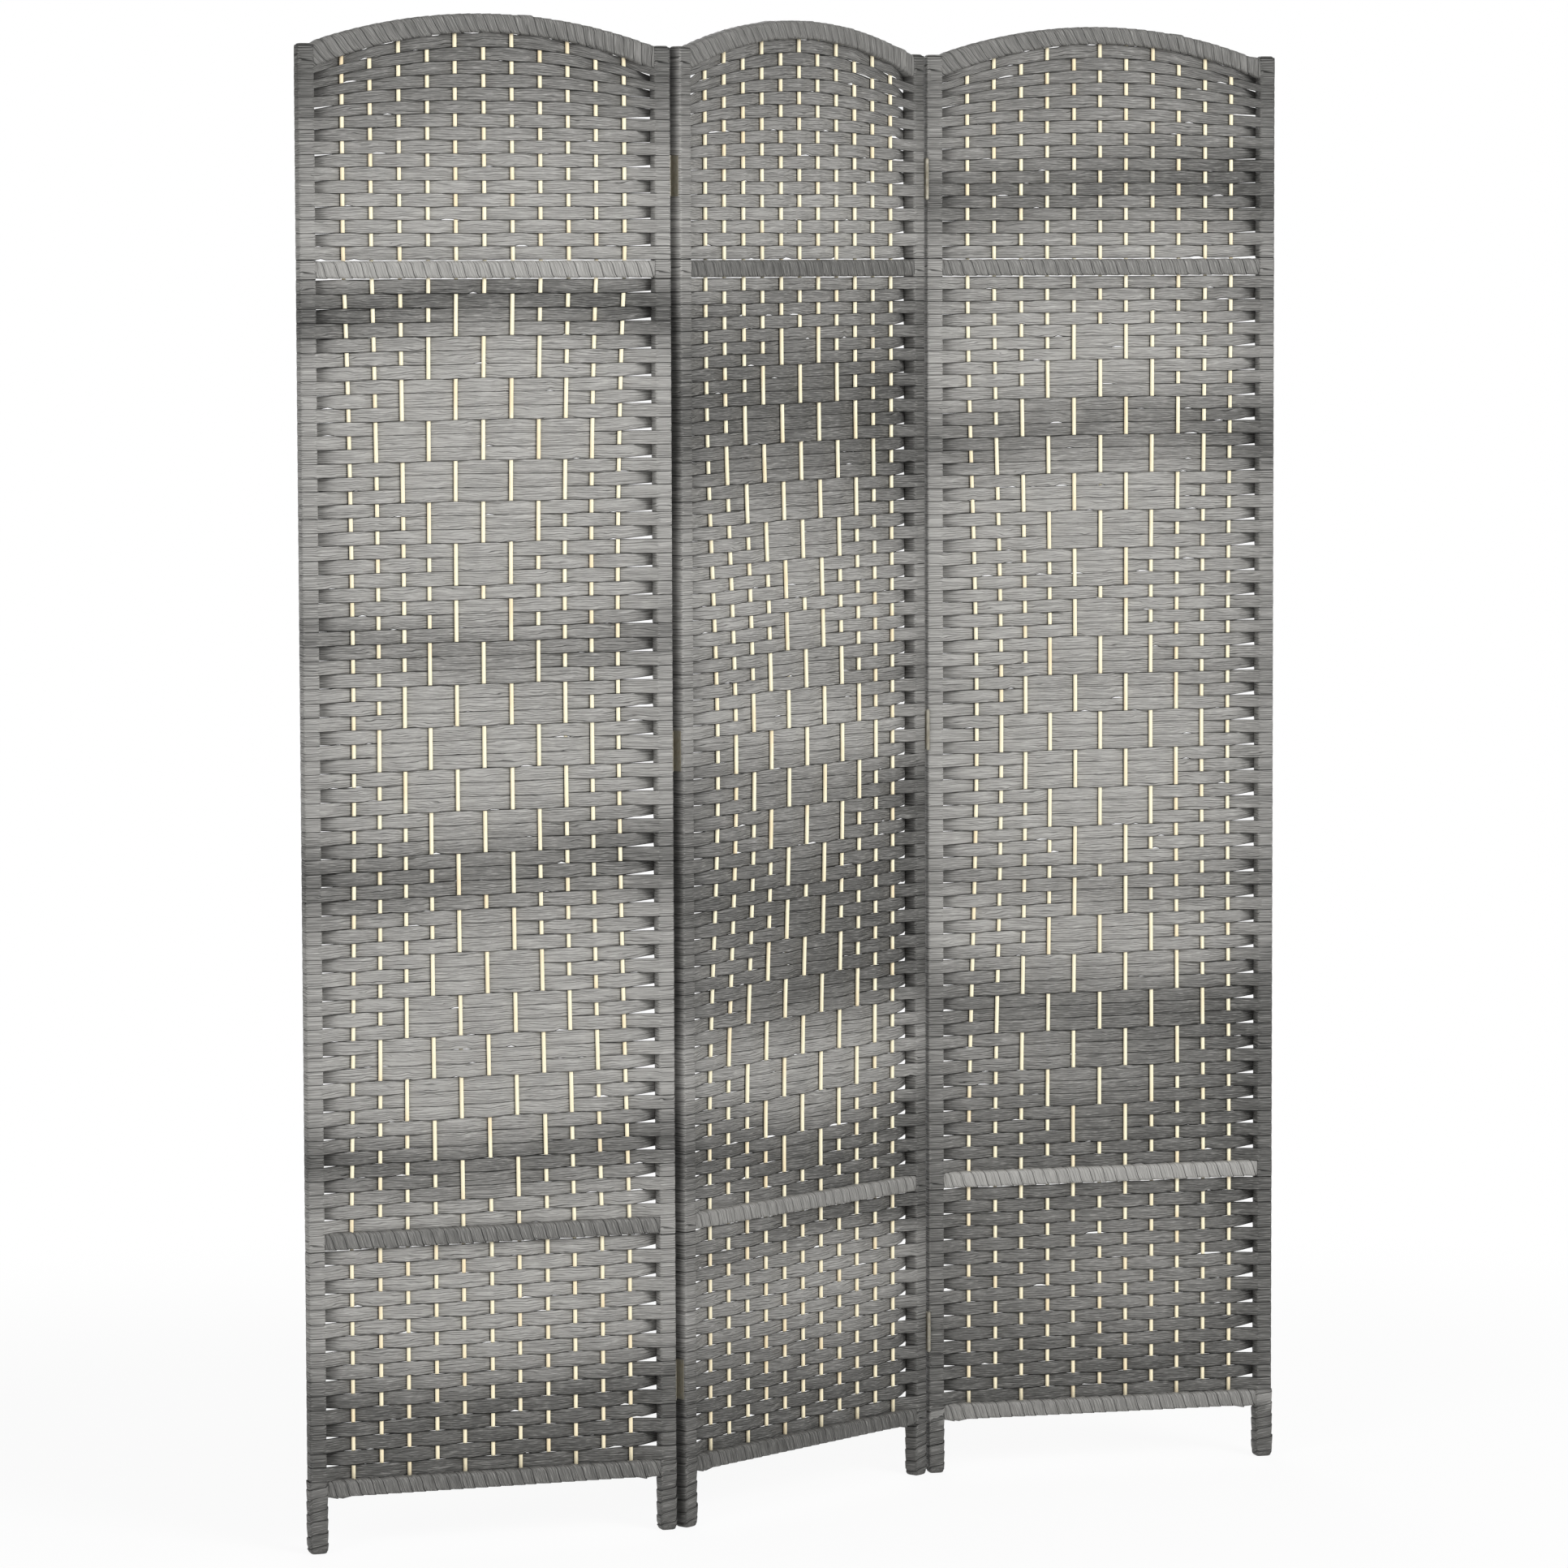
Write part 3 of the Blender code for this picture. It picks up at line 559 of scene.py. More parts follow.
def woven_rows_tree(side_tree, bow_tree, material):
    """One ribbon for each row: round the left stile, over and under the sticks, round the right stile."""
    tree = GeometryTree("Woven Rows")
    rows = tree.input("Rows", "Int")
    parity, first, diamonds = tree.inputs("Parity", "First Row", "Diamonds")
    foot, crown, arched, thickness, swell = tree.inputs("Foot", "Crown", "Arched", "Thickness", "Swell")
    gap, wander, slit, seed = tree.inputs("Gap", "Wander", "Slit", "Seed")
    bow_sizes = {name: tree.input(name) for name in BOW_INPUTS}
    bunching, *lifts, tilt = tree.inputs("Bunching", *LIFT_INPUTS)

    steps = 2 * LOOP_STEPS + SPANS * SPAN_STEPS
    ribbons = tree.copies(rows, tree.tube(SECTION_SIDES, steps), "row")
    across, out, along = tree.point()
    row = tree.named("row") + 1
    station = ((along + 0.5) * steps + 0.5).floor()
    from_end = station.least(steps - station)
    in_loop = from_end < LOOP_STEPS + 0.5
    on_right = station > steps / 2
    place = ((station - LOOP_STEPS) / SPAN_STEPS).between(0.0, float(SPANS))
    stick = (place + 0.001).floor().least(SPANS - 1)
    part = place - stick
    share = part.eased()

    def side(stick, row):
        named = {"Stick": stick, "Row": row, "Parity": parity, "First Row": first, "Diamonds": diamonds}
        return tree.group(side_tree, named)[0]

    def front(row, share):
        """From -1 behind the sticks to 1 in front of them."""
        return side(stick, row).towards(side(stick + 1, row), share)

    outer_gap = FIRST_STICK_X - INNER_LEFT
    span_x = (
        INNER_LEFT
        + place.clamped() * outer_gap
        + (place - 1).between(0.0, float(SPANS - 2)) * STICK_SPACING
        + (place - (SPANS - 1)).clamped() * outer_gap
    )
    over_stile = side(0.0, row)
    half = thickness / 2
    lift = out * over_stile * half

    turn = LOOP_START - LOOP_SWEEP * (from_end / LOOP_STEPS).clamped()
    size = STILE_HALF + WRAP_SWELL - half + lift
    round_x, round_y = turn.square_turn(STILE_SQUARENESS)
    loop_x = STILE_HALF + round_x * size
    loop_y = round_y * size * -over_stile
    loop_x = loop_x.towards(PANEL_WIDTH - loop_x, on_right)

    edge_share = part * 0.65 + share * 0.35
    edge_side = front(row, edge_share)
    middle_height = foot + (crown - foot) * (1 - (row - 0.5) / rows)
    bow = {"Stick": place, "Height": middle_height} | bow_sizes
    bow_along, bow_out = tree.group(bow_tree, bow)
    near_stile = 1 - place.least(SPANS - place).clamped()
    reach = STICK_RADIUS + half + STICK_CLEARANCE
    leave = near_stile ** STILE_LEAVE * (STILE_HALF + WRAP_SWELL - half - reach)
    span_y = -(edge_side * reach) - over_stile * (leave + lift) - bow_out
    x = (span_x + bow_along).towards(loop_x, in_loop)
    y = span_y.towards(loop_y, in_loop)

    drop = arch_drop(span_x, ARCH_RADIUS - 2 * RAIL_HALF_HEIGHT)
    height = crown - foot
    across_panel = span_x / PANEL_WIDTH
    lift_points = [(0.0, 0.0), *zip(LIFT_PLACES, lifts), (1.0, 0.0)]
    from_stiles = (span_x - INNER_LEFT).least(INNER_RIGHT - span_x)
    near_ends = (1 - from_stiles / ARCH_TUCK_REACH).clamped()
    closed = tree.noise(span_x * 40, seed, 0.0).ramp(0.42, 0.50)
    tuck = (near_ends + closed * 0.6).clamped() * ARCH_TUCK * arched

    def edge(number, above, below):
        """Height of the line between two rows; number counts the lines from the top."""
        up = 1 - number / rows
        level = foot + height * up - drop * arched * up ** bunching
        from_rail = number.least(rows - number)
        inside = from_rail.clamped() * 0.6 + 0.4
        stray = (tree.noise(span_x * 14, number * 5.3 + seed, foot * 9, 2.0) - 0.5) * 2 * wander
        free = (from_rail / 4).clamped()
        slow = tree.noise(span_x * 7, (foot + height * up) * 11, seed) - 0.5
        stray = stray + slow * 5 * wander * free
        lift = tree.curve(number / rows, lift_points)
        lift = lift - tilt * (1 - across_panel) ** 2 * (from_rail / 6).clamped()
        under_arch = tuck * (1 - number).clamped()
        return level - (above - below) * 0.5 * swell * inside + stray + lift + under_arch

    top = edge(row - 1, front(row - 1, edge_share), edge_side)
    bottom = edge(row, edge_side, front(row + 1, edge_share))
    under_arch = 1 - arched * (row < 3.5)
    wedge_size = tree.noise(row * 3.7, seed, foot * 5).ramp(0.35, 0.65)
    loop_fade = 1 - in_loop * (1 - (from_end / LOOP_STEPS - 0.7).between(0.0, 0.3) / 0.3)
    open_behind = (1 - over_stile) / 2 * loop_fade

    def wedge(from_stile, share, reach, least, chance):
        """Height of the open wedge beside a stile that the row goes behind."""
        form = (1 - from_stile / reach).clamped() * share
        return open_behind * form * (least + chance * wedge_size)

    left_share = under_arch * (arched * 0.45 + 0.55)
    top = top - wedge(span_x - INNER_LEFT, left_share, *LEFT_WEDGE)
    bottom = bottom + wedge(INNER_RIGHT - span_x, under_arch * 0.8 + 0.2, *RIGHT_WEDGE)
    opening = tree.noise(span_x * 45, row * 9.1 + seed, foot * 3).ramp(0.66, 0.74)
    bottom = bottom + opening * slit * (1 - in_loop)
    width = top - bottom - gap
    level = across.rounded_power(EDGE_ROUNDING)
    z = (top + bottom) / 2 + level * width / 2

    length = (
        (station / LOOP_STEPS).clamped() * STILE_GIRTH
        + span_x
        + ((station - steps) / LOOP_STEPS + 1).clamped() * STILE_GIRTH
    )
    ribbons = tree.unwrapped(ribbons, length, level)
    stick_gap = part.least(1 - part) * STICK_SPACING + in_loop
    ribbons = tree.stored(ribbons, "stick_gap", stick_gap)
    ribbons = tree.stored(ribbons, "in_front", edge_side)
    return tree.finish(tree.moved(ribbons, x, y, z), material)


def wound_ribbon_tree(material):
    """A ribbon wound slantwise round a bar along X, each turn lapping the next; the bar may be arched."""
    tree = GeometryTree("Wound Ribbon")
    turns = tree.input("Turns", "Int")
    length, half_depth, half_height = tree.inputs("Length", "Half Depth", "Half Height")
    thickness, overlap, wander, lumps = tree.inputs("Thickness", "Overlap", "Wander", "Lumps")
    squareness, seed, left_rise, right_rise = tree.inputs("Squareness", "Seed", "Left Rise", "Right Rise")
    arched, overrun, tail, rounding, slant = tree.inputs("Arched", "Overrun", "Tail", "Rounding", "Slant")

    ribbon = tree.tube(SECTION_SIDES, (turns + 2) * TURN_STEPS)
    across, out, along = tree.point()
    turned = (along + 0.5) * (turns + 2) - 1
    angle = turned * math.tau
    pitch = length / turns
    level = across.rounded_power(EDGE_ROUNDING)
    around = (half_depth + half_height) * 4
    ribbon = tree.unwrapped(ribbon, turned * around, level)
    stray = (tree.noise(turned * 0.9, seed, 0.0) - 0.5) * 2 * wander
    ripple = (tree.noise(turned * 4.0, seed + 3, level) - 0.5) * TURN_RIPPLE
    x = turned * pitch + stray + ripple + level * pitch * (1 + overlap) / 2
    round_y, round_z = angle.square_turn(squareness)
    x = x + round_z * slant
    x = x.most(-overrun).least(length + overrun)
    half = thickness / 2
    lump = tree.noise(turned * 1.3, seed + 9, 0.0).ramp(0.55, 0.75) * lumps
    lift = level * thickness * 0.75 + out * half + lump + half * 0.2
    lift = lift - (1 - x / ROUNDED_REACH).clamped() ** 2 * rounding
    y = -(round_y * (half_depth - half + lift))
    z = -(round_z * (half_height - half + lift))
    upper = (z / half_height).clamped()
    lower = (-z / half_height).clamped()
    from_end = x.least(length - x)
    shoulder = (from_end / SHOULDER_REACH).clamped()
    rise = left_rise * (1 - x / length).clamped() ** 3
    rise = rise + right_rise * (x / length).clamped() ** 3
    tail_form = (1 - abs(from_end - TAIL_PLACE) / TAIL_REACH).clamped().eased()
    rise = (STILE_TOP_SWELL + (rise - STILE_TOP_SWELL) * shoulder) * arched
    z = z + upper * rise - lower * tail * tail_form
    middle_radius = ARCH_RADIUS - RAIL_HALF_HEIGHT
    from_stile = PANEL_WIDTH / 2 - INNER_LEFT
    bend = (x - length / 2) / middle_radius
    bent_x = bend.sine() * (middle_radius + z) + from_stile
    bent_z = bend.cosine() * (middle_radius + z) - middle_radius
    ribbon = tree.moved(ribbon, x.towards(bent_x, arched), y, z.towards(bent_z, arched))
    return tree.finish(ribbon, material)


def stile_turns_tree(material):
    """Level turns of ribbon round a stile, one above the other."""
    tree = GeometryTree("Stile Turns")
    count = tree.input("Turns", "Int")
    foot, height, thickness, seed = tree.inputs("Foot", "Height", "Thickness", "Seed")
    turns = tree.copies(count, tree.tube(SECTION_SIDES, TURN_STEPS + 2), "row")
    across, out, along = tree.point()
    number = tree.named("row")
    level = across.rounded_power(EDGE_ROUNDING)
    angle = along * math.radians(375) + math.radians(180)
    turns = tree.unwrapped(turns, angle * STILE_HALF + number, level)
    half = thickness / 2
    size = STILE_HALF + WRAP_SWELL - half * 1.3 + out * half + along * thickness * 0.8
    x, y = (part * size for part in angle.square_turn(STILE_SQUARENESS))
    pitch = height / count
    slant = (tree.noise(number * 3.3, seed, along) - 0.5) * TURN_RIPPLE
    z = foot + (number + 0.5) * pitch + level * (pitch / 2 - 0.0001) + slant
    return tree.finish(tree.moved(turns, x, y, z), material)


def sticks_tree(bow_tree, material):
    """The upright sticks of a panel, each bowed by the ribbon's pull."""
    tree = GeometryTree("Sticks")
    radius, sway, seed = tree.inputs("Radius", "Sway", "Seed")
    bow_sizes = {name: tree.input(name) for name in BOW_INPUTS}
    foot, crown = tree.inputs("Foot", "Crown")
    rods = tree.copies(STICK_COUNT, tree.tube(STICK_SIDES, STICK_STEPS), "stick")
    across, out, along = tree.point()
    number = tree.named("stick")
    x = FIRST_STICK_X + number * STICK_SPACING
    top = crown - RAIL_HALF_HEIGHT - arch_drop(x, ARCH_RADIUS - RAIL_HALF_HEIGHT)
    z = foot + (along + 0.5) * (top - foot)
    stray = (tree.noise(z * 1.5, number * 7.7, seed) - 0.5) * 2 * sway
    bow = {"Stick": number + 1, "Height": z} | bow_sizes
    along_panel, out_of_panel = tree.group(bow_tree, bow)
    thick = radius * (0.94 + 0.12 * tree.noise(z * 9, number * 3.1, seed + 5))
    x = x + across * thick + stray + along_panel
    return tree.finish(tree.moved(rods, x, out * thick - out_of_panel, z), material)


def hinge_screws_tree(material):
    """Copies of a screw up a hinge leaf."""
    tree = GeometryTree("Hinge Screws")
    screw = tree.input("Screw", "Object")
    place = tree.input("Place", "Vector")
    count, spacing = tree.input("Count", "Int"), tree.input("Spacing")
    info = tree.node("GeometryNodeObjectInfo", {"Object": screw})
    offset = tree.vector(0.0, 0.0, spacing)
    sockets = {"Count": count, "Start Location": place, "Offset": offset}
    line = tree.geometry("GeometryNodeMeshLine", sockets)
    return tree.finish(tree.set_on(line, info.outputs["Geometry"]), material)


def linked(name, data):
    obj = bpy.data.objects.new(name, data)
    bpy.context.scene.collection.objects.link(obj)
    return obj


def mesh_from(built, name, material):
    """A mesh from a finished bmesh."""
    data = bpy.data.meshes.new(name)
    built.to_mesh(data)
    built.free()
    data.materials.append(material)
    return data


def grown(name, tree, inputs):
    """The plain mesh that a Geometry Nodes tree makes."""
    holder = linked(name, bpy.data.meshes.new(name))
    modifier = holder.modifiers.new("Nodes", "NODES")
    modifier.node_group = tree
    sockets = {
        item.name: item.identifier
        for item in tree.interface.items_tree
        if item.item_type == "SOCKET" and item.in_out == "INPUT"
    }
    for key, value in inputs.items():
        modifier[sockets[key]] = value
    graph = bpy.context.evaluated_depsgraph_get()
    mesh = bpy.data.meshes.new_from_object(
        holder.evaluated_get(graph), preserve_all_data_layers=True, depsgraph=graph
    )
    bpy.data.objects.remove(holder)
    if not mesh.polygons:
        raise RuntimeError(f"{name}: its node tree made nothing")
    return mesh


def piece(side, part, meshes):
    """One finished object of a panel, from meshes in the panel's own frame."""
    name = f"{side}_panel_{part}"
    joined = bmesh.new()
    for mesh in meshes:
        joined.from_mesh(mesh)
    bmesh.ops.transform(joined, matrix=panel_place(side), verts=joined.verts)
    data = mesh_from(joined, name, meshes[0].materials[-1])
    data.polygons.foreach_set("material_index", [0] * len(data.polygons))
    obj = linked(name, data)
    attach(obj, f"{side}_panel")
    return obj


def dye_and_painted_shade(obj, side, shade_at):
    """Stores how light the ribbon is, from its dye and painted shade, by its place across and up a panel.
    """
    mesh = obj.data
    places = np.zeros(len(mesh.vertices) * 3, np.float32)
    mesh.vertices.foreach_get("co", places)
    to_panel = np.array(panel_place(side).inverted())
    local = places.reshape(-1, 3) @ to_panel[:3, :3].T + to_panel[:3, 3]
    shades = np.clip(shade_at(local[:, 0] / PANEL_WIDTH, local[:, 2]), 0.0, 1.0)
    # Painted shadow on the back half of the side face, deep in the seam
    at_side = np.clip(1 - local[:, 0] / SIDE_FACE_DEPTH, 0, 1)
    painted_seam_shadow = at_side * np.clip(local[:, 1] / SEAM_SOFTNESS + 0.5, 0, 1)
    shades = shades - SEAM_SHADOWS[side] * painted_seam_shadow
    layer = mesh.attributes.new("dye_and_painted_shade", "FLOAT", "POINT")
    layer.data.foreach_set("value", shades.astype(np.float32))


def painted_side_shade(side, across, height):
    """Painted shade towards a panel's sides, painted light and shade on its seam face, and darker on its
    stiles.
    """
    left, right = PAINTED_SIDE_SHADES[side]
    left_reach, right_reach = PAINTED_SIDE_SHADE_REACHES
    # Painted shade where the light falls off towards the panel's left and right side
    painted_side_falloff = left * np.clip(1 - across / left_reach, 0, 1) ** 2
    painted_side_falloff = painted_side_falloff + right * np.clip(1 - (1 - across) / right_reach, 0, 1) ** 2
    from_stile = INNER_LEFT / PANEL_WIDTH - np.minimum(across, 1 - across)
    on_stile = np.clip(from_stile / STILE_FADE_WIDTH + 0.5, 0, 1)
    # Painted light and shade on the left side face, which faces the seam
    painted_seam_light_and_shade = np.clip(1 - across / PAINTED_SEAM_SHADE_WIDTH, 0, 1) * np.interp(height, *PAINTED_SEAM_LIGHT_AND_SHADE[side])
    return painted_side_falloff + STILE_FADE * on_stile + painted_seam_light_and_shade


def banded(side):
    """How light the ribbon is over a panel: dark bands of dye across it, and painted shade towards its
    sides.
    """

    def shade_at(across, height):
        shade = LIGHT_DYE - painted_side_shade(side, across, height)
        for middle, half, depth in DYE_BANDS[side]:
            bend = BAND_BEND * np.sin(across * 5.0 + middle * 40)
            shade = shade - depth * np.exp(-0.7 * ((height + bend - middle) / half) ** 2)
        return shade

    return shade_at


def level_dye(shade):
    return lambda across, height: np.full(height.shape, shade)


def foot_dye(side):
    """A foot's own dye, and beside the bottom rail that of the rail's ribbon."""
    return lambda across, height: np.where(height < FOOT_TOP, FOOT_DYE, WINDING_DYE[side]["bottom"])


def shaded(colour, *shares):
    """A colour with full alpha, its parts times one share or times three."""
    return (*(part * share for part, share in zip(colour, shares * (3 // len(shares)))), 1.0)


def ribbon_material(finishes, name, lines_share, grain):
    """Flat paper ribbon: wavy fibres, banded dye with stored painted shade, painted shade at row edges
    and by sticks.
    """
    tree = ShaderTree(name)
    along, across, _ = tree.parts(tree.node("ShaderNodeUVMap", uv_map="UVMap").outputs[0])
    shade, row, gap, front = (
        tree.value("ShaderNodeAttribute", None, 2, attribute_name=kept)
        for kept in ("dye_and_painted_shade", "row", "stick_gap", "in_front")
    )
    lines = across * 3.1 + row * 0.37
    drift = tree.noise(along * 13, across * 0.7, row * 3.1, 2.0) * 3.4
    drift = drift + tree.noise(along * 55, across * 1.6, row * 1.7, 1.0) * 1.1
    threads = 0.0
    for spacing, part, seed in ((1.0, 1.0, 0.0), (2.3, 0.7, 5.0)):
        thread = (lines + drift) * spacing + seed
        number = thread.floor()
        near = abs(thread - number - 0.5)
        strength = tree.noise(along * 24, number * 3.3 + seed, row * 2.9, 1.0)
        threads = (1 - near.ramp(0.05, 0.24)) * strength.ramp(0.34, 0.56) * part + threads
    fine = tree.noise(along * 90, across * 13, row * 7.3, 2.0)
    glints = fine.ramp(0.50, 0.70)
    # Painted contact shadow on the ribbon beside a stick that it passes behind
    painted_contact_shadow = (1 - gap.ramp(STICK_RADIUS, STICK_RADIUS + 0.0011)) * (-front).ramp(0.3, 0.8)
    patches = tree.noise(along * 9, row * 2.3, across * 0.4, 2.0) - 0.5
    by_row = tree.noise(row * 11.7, 0.0, 0.0) - 0.5
    depth = 0.24 + shade * 0.76 + patches * 0.30 + by_row * 0.12
    pale = (depth + (glints - 0.4) * 0.42 * grain).clamped()
    # Painted shade in the dark lines between rows, at the ribbon's edges
    edge = abs(across).ramp(pale * 0.05 + 0.86, 0.975) * (0.97 - pale * 0.10)
    base = tree.mix(pale, shaded(finishes.ribbon_dark, 1.0), shaded(finishes.ribbon_light, 1.0))
    # Dark fibre threads together with the painted row-edge shade and contact shadow, mixed towards near
    # black
    fibre_lines_and_painted_shade = (threads * (lines_share + 0.14 - pale * 0.14) + edge + painted_contact_shadow * 0.6).between(0.0, 0.97)
    height = fine * 0.5 - threads * lines_share * 2
    return tree.principled({
        "Base Color": tree.mix(fibre_lines_and_painted_shade, base, shaded(finishes.ribbon_dark, 0.20)),
        "Roughness": 0.58 + threads * 0.2 - glints * 0.1,
        "Normal": tree.bump(height, 0.00025),
        "Specular IOR Level": 0.3,
    })


def stick_material(finishes, name):
    """Peeled pale wood with fine upright grain and a few tan streaks."""
    tree = ShaderTree(name)
    x, y, z = tree.object_place()
    grain = tree.noise(x * 2600, y * 2600, z * 22, 3.0)
    patches = tree.noise(x * 30, y * 30, z * 14, 2.0)
    pale, tan = shaded(finishes.stick, 1.0), shaded(finishes.stick, 0.86, 0.72, 0.60)
    tanned = (1 - z.ramp(0.10, 0.50) + z.ramp(1.58, 1.74)) * 0.16
    share = patches.ramp(0.45, 0.75) * 0.55 + (1 - grain.ramp(0.3, 0.55)) * 0.4 + tanned
    share = share.clamped()
    return tree.principled({
        "Base Color": tree.mix(share, pale, tan),
        "Roughness": 0.50 + grain * 0.15,
        "Normal": tree.bump(grain, 0.00008),
        "Specular IOR Level": 0.3,
    })


def wood_material(finishes, name):
    """Planed pale timber with growth rings and short pores."""
    tree = ShaderTree(name)
    x, y, z = tree.object_place()
    warp = tree.noise(x * 8, y * 8, z * 2.5, 2.0)
    rings = ((x * 1.3 + y + warp * 0.03) * 900).sine() * 0.5 + 0.5
    pores = tree.noise(x * 1800, y * 1800, z * 60, 2.0).ramp(0.56, 0.66)
    share = (rings.eased() * 0.55 + pores * 0.5).clamped()
    return tree.principled({
        "Base Color": tree.mix(share, shaded(finishes.wood, 1.0), shaded(finishes.wood, 0.68)),
        "Roughness": 0.52 + pores * 0.2,
        "Normal": tree.bump(1 - pores, 0.0001),
    })


def brass_material(finishes, name):
    """Dull brass with brown tarnish, brushed along its height."""
    tree = ShaderTree(name)
    x, y, z = tree.object_place()
    brush = tree.noise(x * 2400, y * 2400, z * 120, 2.0)
    stain = tree.noise(x * 160, y * 160, z * 110, 4.0).ramp(0.38, 0.66)
    bright, brown = shaded(finishes.brass, 1.0), shaded(finishes.brass, 0.60, 0.57, 0.52)
    return tree.principled({
        "Base Color": tree.mix((stain * 0.75 + brush * 0.2).clamped(), bright, brown),
        "Roughness": 0.34 + stain * 0.22 + brush * 0.08,
        "Metallic": 0.66 - stain * 0.25,
        "Normal": tree.bump(brush - stain * 0.4, 0.00006),
    })


# Each finish's maker, and for ribbon the depth of its lines and its grain
MAKERS = {
    "woven_ribbon": (ribbon_material, 0.46, 1.0),
    "wound_ribbon": (ribbon_material, 0.26, 1.10),
    "peeled_stick": (stick_material,),
    "frame_timber": (wood_material,),
    "dull_brass": (brass_material,),
}


def shared_material(name):
    """A finish that pieces share, made when it is first asked for."""
    maker, *shares = MAKERS[name]
    return bpy.data.materials.get(name) or maker(bpy.context.scene.divider_finishes, name, *shares)


def strip(mesh, near, far):
    """Faces between two rings of points."""
    for k, corner in enumerate(near):
        after = (k + 1) % len(near)
        mesh.faces.new((corner, near[after], far[after], far[k]))


def section_ring(mesh, half, z):
    """Points of a square with soft corners, across Z about a stile."""
    ring = []
    for step in range(PAD_SIDES):
        turn = math.tau * step / PAD_SIDES
        parts = [math.cos(turn), math.sin(turn)]
        x, y = (math.copysign(abs(part) ** STILE_SQUARENESS, part) * half for part in parts)
        ring.append(mesh.verts.new((x, y, z)))
    return ring


def end_pad(half, z, outward, x):
    """A folded pad of ribbon that closes a stile's end; outward is 1 at the top and -1 at the foot."""
    mesh = bmesh.new()
    rings = [section_ring(mesh, half * share, z + outward * rise) for share, rise in PAD_STEPS]
    for near, far in zip(rings, rings[1:]):
        strip(mesh, near, far)
    mesh.faces.new(rings[0][::-1])
    mesh.faces.new(rings[-1])
    bmesh.ops.recalc_face_normals(mesh, faces=mesh.faces)
    uv = mesh.loops.layers.uv.new("UVMap")
    for face in mesh.faces:
        face.smooth = True
        for loop in face.loops:
            loop[uv].uv = (loop.vert.co.x, loop.vert.co.y / half * 0.8)
    return moved_mesh(mesh_from(mesh, "pad", shared_material("woven_ribbon")), x)


def moved_mesh(mesh, x, z=0.0, turn=Matrix()):
    mesh.transform(Matrix.Translation((x, 0, z)) @ turn)
    return mesh


def section_span(section):
    """Lowest and highest line of a woven section."""
    if section == "top":
        return RAIL_TOPS["upper"] + RAIL_SLIT, CROWN_HEIGHT - 2 * RAIL_HALF_HEIGHT - ARCH_SLIT
    below, above = {"middle": ("lower", "upper"), "bottom": ("bottom", "lower")}[section]
    return RAIL_TOPS[below] - RAIL_LAP, RAIL_TOPS[above] - 2 * RAIL_HALF_HEIGHT - RAIL_SLIT


class DIVIDER_OT_weave_panels(Operator):
    """Weave the paper ribbon of each panel over its sticks and round its stiles"""

    bl_idname = "divider.weave_panels"
    bl_label = "Weave Panels"

    def execute(self, context):
        sizes = context.scene.divider_weave
        paper = shared_material("woven_ribbon")
        tree = woven_rows_tree(side_of_stick_tree(), stick_bow_tree(), paper)
        turns_tree = stile_turns_tree(paper)
        for order, side in enumerate(SIDES):
            meshes = []
            for section, rows, parity, first, diamonds in PANEL_ROWS[side]:
                foot, crown = section_span(section)
                meshes.append(grown(f"{side}_{section}", tree, {
                    "Rows": rows, "Parity": float(parity), "First Row": float(first),
                    "Diamonds": float(diamonds), "Foot": foot, "Crown": crown,
                    "Arched": float(section == "top"), "Thickness": sizes.thickness,
                    "Swell": sizes.swell, "Gap": sizes.row_gap, "Wander": sizes.wander,
                    "Slit": sizes.slit, "Seed": sizes.seed + order * 31.0,
                    "Bunching": BUNCHING[side],
                } | dict(zip(BOW_INPUTS, BOWS[side])) | self.lifts(side, section)))
            meshes += self.stile_turns(turns_tree, sizes, order)
            obj = piece(side, "woven_ribbon", meshes)
            dye_and_painted_shade(obj, side, banded(side))
            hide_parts(f"{side}_panel_weave")
        return {"FINISHED"}

    def lifts(self, side, section):
        free = section == "middle"
        return {name: lift if free else 0.0 for name, lift in zip(LIFT_INPUTS, LIFTS[side])}

    def stile_turns(self, tree, sizes, order):
        """Turns round the stiles at the rails and under the arch's ends, and pads on their tops."""
        meshes = []
        reach = RAIL_HALF_HEIGHT + RAIL_SLIT + sizes.swell
        spans = [(RAIL_Z[rail] - reach, 2 * reach) for rail in RAILS]
        top = STILE_HEIGHT - 2 * RAIL_HALF_HEIGHT - ARCH_SLIT - sizes.swell - 0.0018
        crest = STILE_HEIGHT + STILE_TOP_SWELL
        spans.append((top, crest - 2 * sizes.thickness - top))
        for x in STILE_X.values():
            for number, (foot, height) in enumerate(spans):
                mesh = grown("turns", tree, {
                    "Turns": 1, "Foot": foot, "Height": height, "Thickness": sizes.thickness,
                    "Seed": float(order * 7 + number * 3 + x * 10),
                })
                meshes.append(moved_mesh(mesh, x))
            meshes.append(end_pad(STILE_HALF, crest, 1, x))
        return meshes


class DIVIDER_OT_add_sticks(Operator):
    """Stand the eleven peeled sticks in each panel"""

    bl_idname = "divider.add_sticks"
    bl_label = "Add Sticks"

    def execute(self, context):
        tree = sticks_tree(stick_bow_tree(), shared_material("peeled_stick"))
        for order, side in enumerate(SIDES):
            mesh = grown(f"{side}_sticks", tree, {
                "Radius": STICK_RADIUS, "Sway": 0.0012, "Seed": 3.0 + order * 17,
                "Foot": RAIL_Z["bottom"], "Crown": CROWN_HEIGHT,
            } | dict(zip(BOW_INPUTS, BOWS[side])))
            obj = piece(side, "sticks", [mesh])
            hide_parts(f"{side}_panel_weave")
        return {"FINISHED"}


def wound_piece(side, bar, meshes, shade_at):
    """The wound ribbon of a rail or foot, in place of its plain sleeve."""
    obj = piece(side, f"{bar}_turns", meshes)
    dye_and_painted_shade(obj, side, shade_at)
    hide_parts(f"{side}_panel_{bar}_winding")


